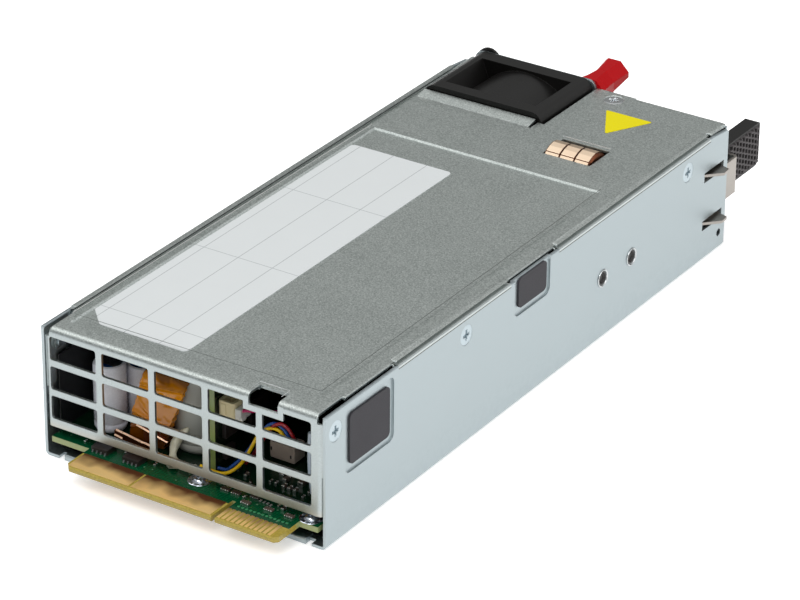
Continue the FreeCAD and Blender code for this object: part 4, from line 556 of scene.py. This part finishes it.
# The pits are darkened nearly to black with painted shade.
pit_nylon = shaded_recess(moulded("pitted latch nylon with painted pit shade", "#454142", 0.5, specular=0.3), "#020202", 1.6)
skin("thumb_pits", field, pit_nylon, "latch", 20, False)

# Fan: black glass-filled polyester frame and rotor, with a ring of bonded ferrite for a magnet.
# Its shaft is ground steel, its bearings are oiled bronze and its stator is a stack of laminations.
dress(moulded("black fan plastic", "#0b0a09", 0.36, specular=0.35), "fan_frame", "fan_rotor", "fan_rivets")
dress(moulded("bonded magnet", "#26262a", 0.6), "fan_magnet")
dress(bare_metal("ground steel shaft", "#c9c9c9", 0.2), "fan_shaft")
dress(bare_metal("sintered bronze", "#b07c46", 0.45), "fan_bearings")
dress(bare_metal("motor laminations", "#6c6660", 0.5), "fan_stator")

# Main board: 1.6 mm glass-epoxy laminate under glossy green solder mask.
# The mask stops short of the tongues, whose borders and milled edges show the bare yellow laminate.


def laminate(name, mask, copper, deep, glass, rim, face, tongue_edge, signal_from, signal_edge):
    """Mask on the broad faces behind the tongues' edge, darkened between Y = 2 and 6 mm by painted shade
    inside the case, and bare laminate elsewhere, its edges greyer inside the case.
    Fine tracks: a brick pattern of 1.3 mm pitch, a shade paler where copper lies under the mask."""
    paint = moulded(name, mask, 0.2, specular=0.45)
    tree, shader, place = opened(paint)
    split = add(tree, "SeparateXYZ", {0: place}).outputs
    tracks = add(tree, "TexBrick", {"Vector": place, "Scale": 1 / (1.3 * MM), "Mortar Size": 0.16,
                                    "Mortar Smooth": 0.3, "Brick Width": 3.7, "Row Height": 0.5,
                                    "Color1": linear(mask), "Color2": linear(mask),
                                    "Mortar": linear(copper)})
    holes = add(tree, "TexVoronoi", {"Vector": place, "Scale": 1 / (2.4 * MM)})
    via = add(tree, "Math", {0: holes, 1: 0.12}, operation="LESS_THAN")
    green = add(tree, "MixRGB", {0: via, 1: tracks, 2: linear("#5f7a62")})
    # Painted shade over the mask inside the case.
    inside_shade = add(tree, "MapRange", {0: split["Y"], 1: 2.0 * MM, 2: 6.0 * MM, 4: 0.85})
    green = add(tree, "MixRGB", {0: inside_shade, 1: green, 2: linear(deep)})
    facing = add(tree, "SeparateXYZ", {0: add(tree, "NewGeometry").outputs["True Normal"]}).outputs
    flat = add(tree, "Math", {0: facing[face]}, operation="ABSOLUTE")
    flat = add(tree, "Math", {0: flat, 1: 0.9}, operation="GREATER_THAN")
    right = add(tree, "Math", {0: split["X"], 1: signal_from * MM}, operation="GREATER_THAN")
    edge = add(tree, "Math", {0: right, 1: (signal_edge - tongue_edge) * MM, 2: tongue_edge * MM},
               operation="MULTIPLY_ADD")
    behind = add(tree, "Math", {0: split["Y"], 1: edge}, operation="GREATER_THAN")
    masked = add(tree, "Math", {0: flat, 1: behind}, operation="MULTIPLY")
    fibre = add(tree, "TexNoise", {"Vector": place, "Scale": 1 / (0.5 * MM), "Detail": 3.0})
    streak = add(tree, "MapRange", {0: fibre, 1: 0.35, 2: 0.62})
    shaded = tuple(0.78 * c for c in linear(glass)[:3]) + (1.0,)
    bare = add(tree, "MixRGB", {0: streak, 1: shaded, 2: linear(glass)})
    inner = add(tree, "MapRange", {0: split["Y"], 1: -2.5 * MM, 2: -1.0 * MM, 4: 0.8})
    milled = add(tree, "MixRGB", {0: inner, 1: bare, 2: linear(rim)})
    plug(shader, {"Base Color": add(tree, "MixRGB", {0: masked, 1: milled, 2: green})})
    return paint


# The deep colours are each mask darkened as painted shade inside the case.
dress(laminate("green masked glass epoxy", mask="#003820", copper="#034a2a", deep="#06150c",
               glass="#ab9742", rim="#8f9f74", face="Z", tongue_edge=-3.2, signal_from=16.9,
               signal_edge=-5.0), "main_board")
dress(laminate("riser glass epoxy", mask="#06180c", copper="#0b2a16", deep="#07140b", glass="#a3b068",
               rim="#7f9152", face="X", tongue_edge=-9.0, signal_from=50.0, signal_edge=-9.0), "riser_board")

# Gold lands and contact fingers: hard gold over nickel, a few tenths of a micron, worn satin.
# The gold turns brown in patches towards the case.


def worn_gold(name, bright, brown):
    """Gold that turns brown with Y: the mix rises from 9.5 to 3.6 mm before the grille, broken by a 6 mm
    cloud and by scuffs stretched along Y, the way the card slides."""
    paint = moulded(name, bright, 0.36, grain=0.8)
    tree, shader, place = opened(paint)
    split = add(tree, "SeparateXYZ", {0: place}).outputs
    near = add(tree, "MapRange", {0: split["Y"], 1: -9.5 * MM, 2: -3.6 * MM, 3: -0.30, 4: 1.0})
    cloud = add(tree, "TexNoise", {"Vector": place, "Scale": 1 / (6 * MM), "Detail": 1.5})
    slid = add(tree, "Mapping", {"Vector": place, "Scale": (1.0, 0.2, 1.0)})
    scuff = add(tree, "TexNoise", {"Vector": slid, "Scale": 1 / (1.1 * MM), "Detail": 3.0})
    part = add(tree, "Math", {0: cloud, 1: 1.5, 2: near}, operation="MULTIPLY_ADD")
    part = add(tree, "Math", {0: scuff, 1: 0.1, 2: part}, operation="MULTIPLY_ADD")
    browned = add(tree, "MapRange", {0: part, 1: 0.75, 2: 1.65})
    tone = add(tree, "MixRGB", {0: browned, 1: linear(bright), 2: linear(brown)})
    plug(shader, {"Base Color": tone, "Metallic": 0.5})
    return paint


dress(worn_gold("hard gold plating", "#ffd68c", "#5e310c"), "power_lands", "signal_fingers")

# Output capacitors: aluminium cans in a pale shrunk sleeve, crimped above the board, tops bare.
# A blue printed segment on each top marks the negative lead; the tall one beside the riser has a grey
# sleeve, painted darker as shade.
board_top = in_mm(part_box("output_capacitors"))[0][2]
spots = ((-30.5, 11.3, 19.4), (-25.1, 18.3, 17.6), (-34.0, 20.2, 19.4), (-27.5, 27.3, 18.6))


def can(radius, height):
    """Profile from the base up: a rounded foot, the crimp's groove, the wall, the sleeve's rolled rim."""
    return [(0, 0), (radius - 1.3, 0), (radius - 0.5, 0.4), (radius, 1.3), (radius, 2.2),
            (radius - 0.35, 2.7), (radius, 3.2), (radius, height - 0.9), (radius - 0.25, height - 0.25),
            (radius - 0.7, height), (radius - 0.9, height - 0.25), (0, height - 0.25)]


def marked_top(name, bare, print_colour, rows, before=3.1, half=1.2):
    """Aluminium with a printed segment: blue within half a width of a line that lies a little before the
    middle of each can's row."""
    paint = bare_metal(name, bare, 0.3)
    tree, shader, place = opened(paint)
    along = add(tree, "SeparateXYZ", {0: place}).outputs["Y"]
    marked = 0.0
    for row in rows:
        inside = add(tree, "Math", {0: along, 1: (row - before) * MM, 2: half * MM}, operation="COMPARE")
        marked = add(tree, "Math", {0: marked, 1: inside}, operation="MAXIMUM")
    plug(shader, {"Base Color": add(tree, "MixRGB", {0: marked, 1: linear(bare), 2: linear(print_colour)})})
    return paint


sleeve = moulded("white shrink sleeve", "#dfe1ea", 0.26, specular=0.5)
cans = [turned(can(4.3, tall), (x, y, board_top)) for x, y, tall in spots]
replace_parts(skin("sleeved_output_cans", cans, sleeve), "output_capacitors")
disc = [(0, 0.1), (1.6, 0.1), (3.3, 0.06), (3.52, 0), (3.52, -0.12), (0, -0.12)]
tops = [turned(disc, (x, y, board_top + tall - 0.2)) for x, y, tall in spots]
skin("bare_can_tops", tops, marked_top("drawn aluminium with blue print", "#8d93a3", "#2a78cc",
                                       [y for _, y, _ in spots]))
# The tall can's grey sleeve is painted darker, as shade.
grey = moulded("grey shrink sleeve darkened as painted shade", "#a3a49e", 0.34, specular=0.4)
tall_can = turned(can(7.0, 27.0), (-6.6, 17.7, board_top), steps=48)
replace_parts(skin("sleeved_tall_can", [tall_can], grey), "tall_capacitor")
low, high = in_mm(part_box("reservoir_capacitor"))
radius = (high[2] - low[2]) / 2
middle = (low[0] + radius, low[1], low[2] + radius)
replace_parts(skin("sleeved_reservoir", [turned(can(radius, high[1] - low[1]), middle, "y", 48)], sleeve),
            "reservoir_capacitor")

# Taped coil: a flat choke wound round with amber polyimide tape, crinkled where the layers lap.
# The tape leans over to the tall can and is folded back at the top.


def wrapped(rows=90, columns=160):
    """A leaning block: at each height t a five-cornered outline, its corners averaged over neighbouring
    samples.  The front stands out along four slanted folds by tall * exp(-|z - fold| / 0.35), slanted sine
    waves of height and place crease it by up to 0.18 mm, and the sides ripple."""
    t = np.linspace(0, 1, rows)[:, None]
    z = board_top + 0.1 + 20.9 * t
    left = -23.5 + 5.0 * t
    right = -12.7 + 7.8 * t
    front = 9.2 - 0.9 * np.exp(-((z - 15.5) / 4.0) ** 2) + 0.10 * np.clip(z - 24.0, 0, 9) ** 2
    deep = 13.6 - 3.2 * np.clip(right + 12.0, 0, 1)
    corners_x = np.concatenate([left, right, right, np.minimum(right, -11.7), left], axis=1)
    corners_y = np.concatenate([front, front + 0.15, deep, 13.6 + 0 * t, 13.6 + 0 * t], axis=1)
    share = np.arange(columns) / columns * 5
    first = share.astype(int)
    part = share - first
    outline = []
    for corners in (corners_x, corners_y):
        side = corners[:, first] * (1 - part) + corners[:, (first + 1) % 5] * part
        outline.append((np.roll(side, 1, 1) + 2 * side + np.roll(side, -1, 1)) / 4)
    x, y = outline
    crease = 0.10 * abs(np.sin(0.55 * z + 0.5 * x)) + 0.08 * abs(np.sin(0.8 * z - 0.7 * x + 1.0))
    for level, slope, tall in ((15.6, 0.24, 0.8), (23.4, -0.10, 0.6), (11.2, -0.35, 0.4), (19.5, 0.9, 0.3)):
        fold = level - slope * (x + 20.0)
        crease = crease + tall * np.exp(-abs(z - fold) / 0.35)
    y = y - np.clip((11.0 - y) / 1.5, 0, 1) * crease
    x = x + 0.36 * np.sin(3.3 * z) * np.clip(abs(x - (left + right) / 2) / 5 - 0.8, 0, 0.3)
    block = lattice(x, y, z)
    return capped(block.mean(axis=1), block)


def tape(name, shades):
    """Polyimide film over copper: ambers by height, painted light and shade: shade at the foot, a highlight
    at the fold near the top and shade again above it, shifted by a 6 mm cloud where turns of tape lie
    doubled, under a clear gloss."""
    paint = moulded(name, shades[2][1], 0.09, grain=3.5, depth=0.05, specular=0.5)
    tree, shader, place = opened(paint)
    level = add(tree, "SeparateXYZ", {0: place}).outputs["Z"]
    cloud = add(tree, "TexNoise", {"Vector": place, "Scale": 1 / (6 * MM), "Detail": 2.0, "Distortion": 0.6})
    shift = add(tree, "Math", {0: cloud, 1: 7 * MM, 2: level}, operation="MULTIPLY_ADD")
    share = add(tree, "MapRange", {0: shift, 1: 10 * MM, 2: 31 * MM})
    ramp = add(tree, "ValToRGB", {"Fac": share})
    while len(ramp.color_ramp.elements) < len(shades):
        ramp.color_ramp.elements.new(0.5)
    for stop, (position, shade) in zip(ramp.color_ramp.elements, shades):
        stop.position = position
        stop.color = linear(shade)
    plug(shader, {"Base Color": ramp})
    return paint


# The ambers are painted light and shade: dark at the foot, brightest at the fold, dark again at the top.
amber = tape("amber polyimide tape with painted light and shade", [(0.0, "#5c3203"), (0.30, "#934e03"), (0.40, "#c27616"),
                                      (0.62, "#c98220"), (0.80, "#e89400"), (0.92, "#c47900"),
                                      (1.0, "#824c00")])
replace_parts(skin("tape_wrapped_coil", [wrapped()], amber, sharp=60), "taped_coil")

# Copper strips: bare edges of the coil's flat winding, cut short and bent along its foot.
# They are bright where the shears left them.
copper = bare_metal("bare copper strap", "#ffcfb0", 0.3)
edges = [thin_bar([(-25.4, 6.6, 9.5), (-21.5, 6.7, 8.9), (-17.4, 6.8, 8.2), (-16.2, 6.7, 8.3), (-13.4, 6.7, 7.8)],
              (0.05, 0.42, 0.34), 0.2),
         thin_bar([(-19.6, 7.5, 12.3), (-16.0, 7.4, 11.6), (-10.1, 7.6, 10.1)], (0.05, 0.40, 0.32), 0.2),
         thin_bar([(-25.6, 6.2, 8.2), (-23.2, 6.2, 7.8)], (0.05, 0.40, 0.32), 0.2)]
skin("bright_strip_edges", edges, copper)
# The straps under the bright edges are painted dark brown, as shade.
dress(bare_metal("copper strap darkened as painted shade", "#8a4a2e", 0.4), "copper_straps")

# Glue: cream silicone run down the tall can and along the board, holding the can against shaking.
# It flattens where it lies on the laminate.


def smoothed(points, samples, rounds):
    """Points sampled evenly along their chain, then averaged again and again with their neighbours:
    p = (before + 2 p + after) / 4, the two ends staying in place."""
    rows = np.array(points, float)
    t = np.linspace(0, len(rows) - 1, samples)
    line = np.stack([np.interp(t, np.arange(len(rows)), column) for column in rows.T], axis=-1)
    for _ in range(rounds):
        line[1:-1] = (line[:-2] + 2 * line[1:-1] + line[2:]) / 4
    return line


def tube(line, radius, aside, steps):
    """Circles across a line's direction d: p + r (u cos a + v sin a), where u is d x aside made one long
    and v is d x u.  The first end is closed by its own middle, and the last is left open."""
    way = np.gradient(line, axis=0)
    way /= np.linalg.norm(way, axis=1, keepdims=True)
    one = np.cross(way, aside)
    one /= np.linalg.norm(one, axis=1, keepdims=True)
    two = np.cross(way, one)
    a = np.arange(steps)[:, None] * 2 * math.pi / steps
    rings = line[:, None] + radius * (one[:, None] * np.cos(a) + two[:, None] * np.sin(a))
    return capped(line, rings)[:-1]


def run_of_glue(points, floor, samples=60, steps=20):
    """A thread of changing radius along a smooth path, lumpy by up to 18 percent and flat at the floor:
    z = max(z, floor)."""
    line = smoothed(points, samples, 6)
    t = np.linspace(0, len(points) - 1, samples)[:, None]
    a = np.arange(steps) * 2 * math.pi / steps
    lump = 1 + 0.12 * np.sin(2.1 * t) + 0.06 * np.sin(3 * a + t)
    thread = tube(line[:, :3], (line[:, 3:] * lump)[..., None], (1.0, 0.0, 0.0), steps)
    thread[..., 2] = np.maximum(thread[..., 2], floor)
    return thread


glue = moulded("cream silicone glue", "#d9d6c0", 0.3, specular=0.5)
plug(glue.node_tree.nodes["Principled BSDF"], {"Subsurface Weight": 0.15,
                                               "Subsurface Radius": (0.001, 0.0009, 0.0006)})
drip = run_of_glue([(-5.6, 10.5, 14.2, 0.35), (-6.4, 10.3, 13.2, 0.8), (-8.0, 9.9, 11.4, 1.35),
                    (-8.5, 9.0, 10.0, 1.3), (-8.2, 7.8, 9.0, 0.95), (-7.6, 6.5, 8.1, 0.95),
                    (-6.8, 5.2, 7.3, 1.3), (-5.6, 3.9, 6.9, 1.7), (-4.9, 2.9, 6.7, 1.3)], board_top + 0.02)
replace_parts(skin("silicone_run", [drip], glue, sharp=80), "glue_bead")

# Surface-mounted parts: chip resistors and capacitors with bright tinned ends, and resistor arrays.
# Each body is a rounded block; its caps stand a little proud.
chip_places = {
    (0.8, 1.6, 0.9): [(23.4, 10.9), (25.1, 10.8), (26.8, 10.8)],
    (0.8, 1.6, 0.8): [(32.4, 11.0), (12.2, 10.4), (29.3, 1.9), (35.6, 9.4)],
    (0.8, 1.6, 0.7): [(8.6, 5.0)],
    (0.8, 1.6, 0.6): [(-1.0, 6.4)],
    (0.6, 1.2, 0.5): [(18.9, 11.4), (20.5, 11.5), (30.0, 9.5), (30.0, 12.2), (33.6, 6.2), (5.9, 6.9),
                      (1.4, 5.2), (15.2, 7.3)],
    (0.6, 1.2, 0.4): [(-9.9, 2.2)],
    (0.5, 1.0, 0.4): [(27.4, 2.6), (-19.5, 2.9), (-18.4, 2.9), (-31.6, 2.0)],
    (0.5, 0.9, 0.4): [(22.3, 2.0), (23.5, 1.9), (24.6, 1.8), (25.7, 1.5), (17.8, 1.4)],
    (1.2, 2.0, 1.0): [(19.8, 15.5), (31.0, 15.4)],
    (1.2, 2.0, 1.2): [(22.0, 13.6), (36.8, 14.4)],
    (1.6, 3.0, 1.4): [(26.4, 14.6)],
}
array_places = ((11.9, 1.9), (15.1, 1.8), (20.2, 2.8), (19.8, -0.8), (26.4, -0.3), (32.4, -0.1), (7.6, 12.4))


def brick(middle, half, power=0.25):
    """A superellipsoid block: x = a s(cos u) s(cos v), y = b s(cos u) s(sin v), z = c s(sin u), with
    s(w) = sign(w) |w| to a power, so that its corners are slightly rounded."""
    u = np.linspace(-math.pi / 2, math.pi / 2, 9)[:, None]
    v = (np.arange(16) + 0.5)[None, :] * 2 * math.pi / 16

    def bend(wave):
        return np.sign(wave) * abs(wave) ** power

    x = half[0] * bend(np.cos(u)) * bend(np.cos(v))
    y = half[1] * bend(np.cos(u)) * bend(np.sin(v))
    return lattice(x, y, half[2] * bend(np.sin(u))) + np.array(middle, float)


bodies, caps = [], []
for (wide, deep, tall), places in chip_places.items():
    for x, y in places:
        bodies.append(brick((x, y, board_top + tall / 2), (wide / 2, deep / 2 - 0.15, tall / 2 - 0.03)))
        for end in (-1, 1):
            caps.append(brick((x, y + end * (deep / 2 - 0.15), board_top + tall / 2),
                              (wide / 2 + 0.03, 0.2, tall / 2 + 0.02)))
for x, y in array_places:
    bodies.append(brick((x, y, board_top + 0.27), (1.35, 0.62, 0.26)))
    for aside in (-0.96, -0.32, 0.32, 0.96):
        for end in (-1, 1):
            caps.append(brick((x + aside, y + end * 0.68, board_top + 0.25), (0.17, 0.17, 0.25)))
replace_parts(skin("chip_part_bodies", bodies, moulded("fired ceramic and epoxy", "#4a4038", 0.4)),
            "chip_parts")
skin("chip_part_caps", caps, bare_metal("bright tin", "#fbfbf8", 0.2))

# Soldered screw lands: a tinned ring with eight bumps of solder round a bright pan head.
# A row of tented vias runs behind the signal fingers.


def soldered_land(x, y):
    """Ring and head in one: solder bumps 0.30 |cos 4a|^6 exp(-((r - 2.5) / 0.32)^2) round the head's dome,
    0.95 (1 - (r / 2)^4), less a cross recess 0.6 mm deep."""
    ring = np.linspace(0, 3.1, 26)[:, None]
    angle = np.arange(72) * 2 * math.pi / 72
    bump = 0.30 * abs(np.cos(4 * angle)) ** 6 * np.exp(-((ring - 2.5) / 0.32) ** 2)
    dome = np.clip(0.95 * (1 - (ring / 2.0) ** 4), 0, 1)
    bar = np.minimum(abs(ring * np.cos(angle)), abs(ring * np.sin(angle)))
    cross = np.clip((0.42 - bar) / 0.2, 0, 1) * np.clip((1.25 - ring) / 0.2, 0, 1)
    height = 0.10 * np.clip((3.1 - ring) / 0.1, 0, 1) + bump + dome - 0.6 * cross
    return lattice(x + ring * np.cos(angle), y + ring * np.sin(angle), board_top + height)


lands = [soldered_land(3.7, 2.2), soldered_land(37.2, 2.4)]
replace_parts(skin("soldered_screw_lands", lands, bare_metal("reflowed solder", "#ccd3de", 0.16)),
            "solder_joints")
ring = [(0, 0.05), (0.16, 0.05), (0.3, 0.11), (0.42, 0.02), (0.42, -0.02)]
vias = [turned(ring, (19.2 + 1.2 * number, -3.0, board_top), steps=12) for number in range(13)]
skin("tented_vias", vias, moulded("mask over copper", "#2c7a4c", 0.3))

# Driver chips: black moulded epoxy with four tinned gull-wing leads a side.
# They stand in the gap between the power tongue and the grille.
chip_middle, half_chip, lead_pitch = 0.85, 1.9, 1.27
leads = []
for first in (-26.9, -17.2):
    for number in range(4):
        for side in (-1, 1):
            x = first + lead_pitch * number
            y = chip_middle + side * half_chip
            path = [(x, y, board_top + 0.6), (x, y + side * 0.2, board_top + 0.55),
                    (x, y + side * 0.3, board_top + 0.12), (x, y + side * 0.6, board_top + 0.07)]
            leads.append(thin_bar(path, (0.34, 0, 0), 0.14))
skin("driver_chip_leads", leads, bare_metal("dull tinned lead frame", "#85888a", 0.4))
dress(moulded("black chip epoxy", "#211c1a", 0.42), "chips", "power_devices")

# Sense relay to the right of the riser: a taupe moulded case with two vents in its front, their openings
# painted dark as shade.
# The other parts dressed here keep the frame's shapes: film capacitor, ferrite cores, fan plug and fuse.
relay = brick((15.7, 23.3, 9.1), (3.8, 2.5, 2.35), 0.12)
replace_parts(skin("sense_relay_case", [relay], moulded("taupe relay case", "#c2b3a6", 0.45, specular=0.3)),
            "sense_relay")
# The vents are dark patches on the case front, painted shade for their openings.
vents = [brick((across, 20.78, up), (0.22, 0.06, 0.5), 0.4) for across, up in ((12.5, 9.4), (18.4, 8.6))]
skin("relay_vent_shadows", vents, moulded("painted shade in relay vent", "#2a2522", 0.6))
dress(moulded("amber filter capacitor", "#c07d16", 0.22), "filter_capacitor")
dress(moulded("sintered ferrite", "#1d1d1f", 0.6), "output_core", "transformer_core")
cream = moulded("cream connector nylon", "#e0d3a9", 0.5)
dress(cream, "fan_plug", "mains_fuse")

# Socket and plug: an open cream shell on the riser, with the white body pushed on its right face.
# Both are moulded nylon, satin from the tool.


def open_box(low, high, wall):
    """An open-topped tray: outer walls up, over the rim, down the inside and across its floor, as rows of
    a rounded rectangle: a superellipse of power 8 scaled to each row's half-sizes."""
    low, high = np.array(low, float), np.array(high, float)
    a = (np.arange(48) + 0.5) * 2 * math.pi / 48
    square = (abs(np.cos(a)) ** 8 + abs(np.sin(a)) ** 8) ** (-1 / 8)
    half = (high - low)[:2] / 2
    middle = (high + low)[:2] / 2
    share, up, inset = np.array([(0.001, low[2], 0), (1, low[2], 0), (1, high[2], 0), (1, high[2], wall),
                                 (1, low[2] + wall, wall), (0.001, low[2] + wall, wall)]).T[..., None]
    return lattice(middle[0] + share * (half[0] - inset) * square * np.cos(a),
                   middle[1] + share * (half[1] - inset) * square * np.sin(a), up)


socket = [open_box((4.9, 8.7, 22.2), (9.8, 14.2, 26.6), 0.7), brick((6.6, 8.62, 24.4), (0.8, 0.12, 1.5), 0.3)]
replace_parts(skin("cream_socket_shell", socket, cream, sharp=40), "wire_socket")
body = [brick((10.6, 11.4, 23.6), (0.95, 2.3, 1.6), 0.2), brick((11.2, 10.4, 22.4), (0.5, 1.1, 0.6), 0.3),
        brick((11.3, 12.6, 23.6), (0.4, 0.6, 1.0), 0.3)]
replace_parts(skin("white_plug_body", body, moulded("white connector nylon", "#dfe0dc", 0.45)), "wire_plug")

# Leads: stranded copper in coloured extruded insulation.  Three loop up from the board's front and down
# again further back, and the magenta pair comes from the white plug.  The windings are enamelled copper.


def lead(name, insulation, colour, points, radius=0.45):
    """A round tube in one colour along the points, smoothed."""
    paint = moulded(insulation + " wire insulation", colour, 0.28, grain=1.0, depth=0.01)
    return skin(name, [tube(smoothed(points, 12 * len(points), 30), radius, (0.2, 1.0, 0.1), 16)], paint)


yellow_route = [(1.0, 6.4, 7.5), (4.9, 5.8, 7.6), (6.3, 6.2, 7.3), (7.8, 6.8, 7.2), (9.3, 7.6, 7.8),
                (10.5, 8.6, 8.9), (11.8, 9.6, 10.7), (12.9, 10.2, 13.0), (14.0, 10.6, 15.6),
                (15.2, 11.0, 18.4), (17.2, 11.3, 20.8), (19.8, 11.2, 22.0), (21.6, 11.3, 21.8),
                (22.4, 11.8, 20.6), (21.0, 15.0, 17.0), (17.0, 23.0, 12.4), (13.0, 29.0, 8.0)]
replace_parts(lead("yellow_sense_lead", "yellow", "#e8bd08", yellow_route), "yellow_lead")
# The blue and red insulation is painted darker than its own colour, as shade over the loops.
blue_route = [(4.9, 8.4, 7.2), (7.2, 8.9, 7.0), (8.0, 9.4, 7.8), (9.0, 10.2, 8.9), (10.3, 10.6, 10.2),
              (12.4, 11.6, 13.6), (14.2, 12.0, 17.0), (16.2, 12.0, 20.0), (18.4, 11.8, 22.4),
              (20.6, 11.6, 23.4), (22.8, 11.5, 22.5), (23.8, 11.9, 20.8), (22.4, 15.4, 17.0),
              (18.4, 23.0, 12.6), (15.0, 29.0, 8.0)]
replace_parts(lead("blue_sense_lead", "blue", "#184a94", blue_route), "blue_lead")
red_route = [(9.4, 14.2, 7.2), (12.0, 13.6, 10.8), (15.6, 12.8, 16.5), (18.6, 11.6, 20.9),
             (20.2, 11.2, 22.9), (22.4, 11.0, 24.2), (24.4, 11.1, 23.3), (25.5, 11.6, 21.2),
             (24.4, 14.6, 17.6), (20.4, 22.0, 13.2), (17.0, 28.0, 8.0)]
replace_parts(lead("red_sense_lead", "red", "#961a24", red_route), "red_lead")
for number, drop in enumerate((0.0, 1.3)):
    lead("magenta_lead_%d" % number, "magenta", "#c21f66",
         [(10.8, 10.2 + drop, 24.4), (12.2, 10.2 + drop, 25.0), (14.2, 11.2 + drop, 25.0 - drop / 2),
          (15.8, 13.6 + drop, 24.2 - drop / 2), (16.8, 19.0, 22.0), (17.6, 26.0, 19.0)])
lead("pale_side_lead", "pale blue", "#c9d6e4",
     [(31.9, 10.0, 25.0), (31.6, 10.0, 20.0), (31.6, 10.2, 14.0), (31.8, 11.0, 7.4)], 0.7)
dress(moulded("black wire insulation", "#1a1a1a", 0.35), "inlet_leads", "fan_lead")
dress(bare_metal("enamelled copper winding", "#b8643a", 0.35), "transformer_winding", "boost_choke",
      "line_filter_choke")
dress(bare_metal("extruded aluminium", "#c8cacc", 0.35), "heatsink")

low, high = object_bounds()
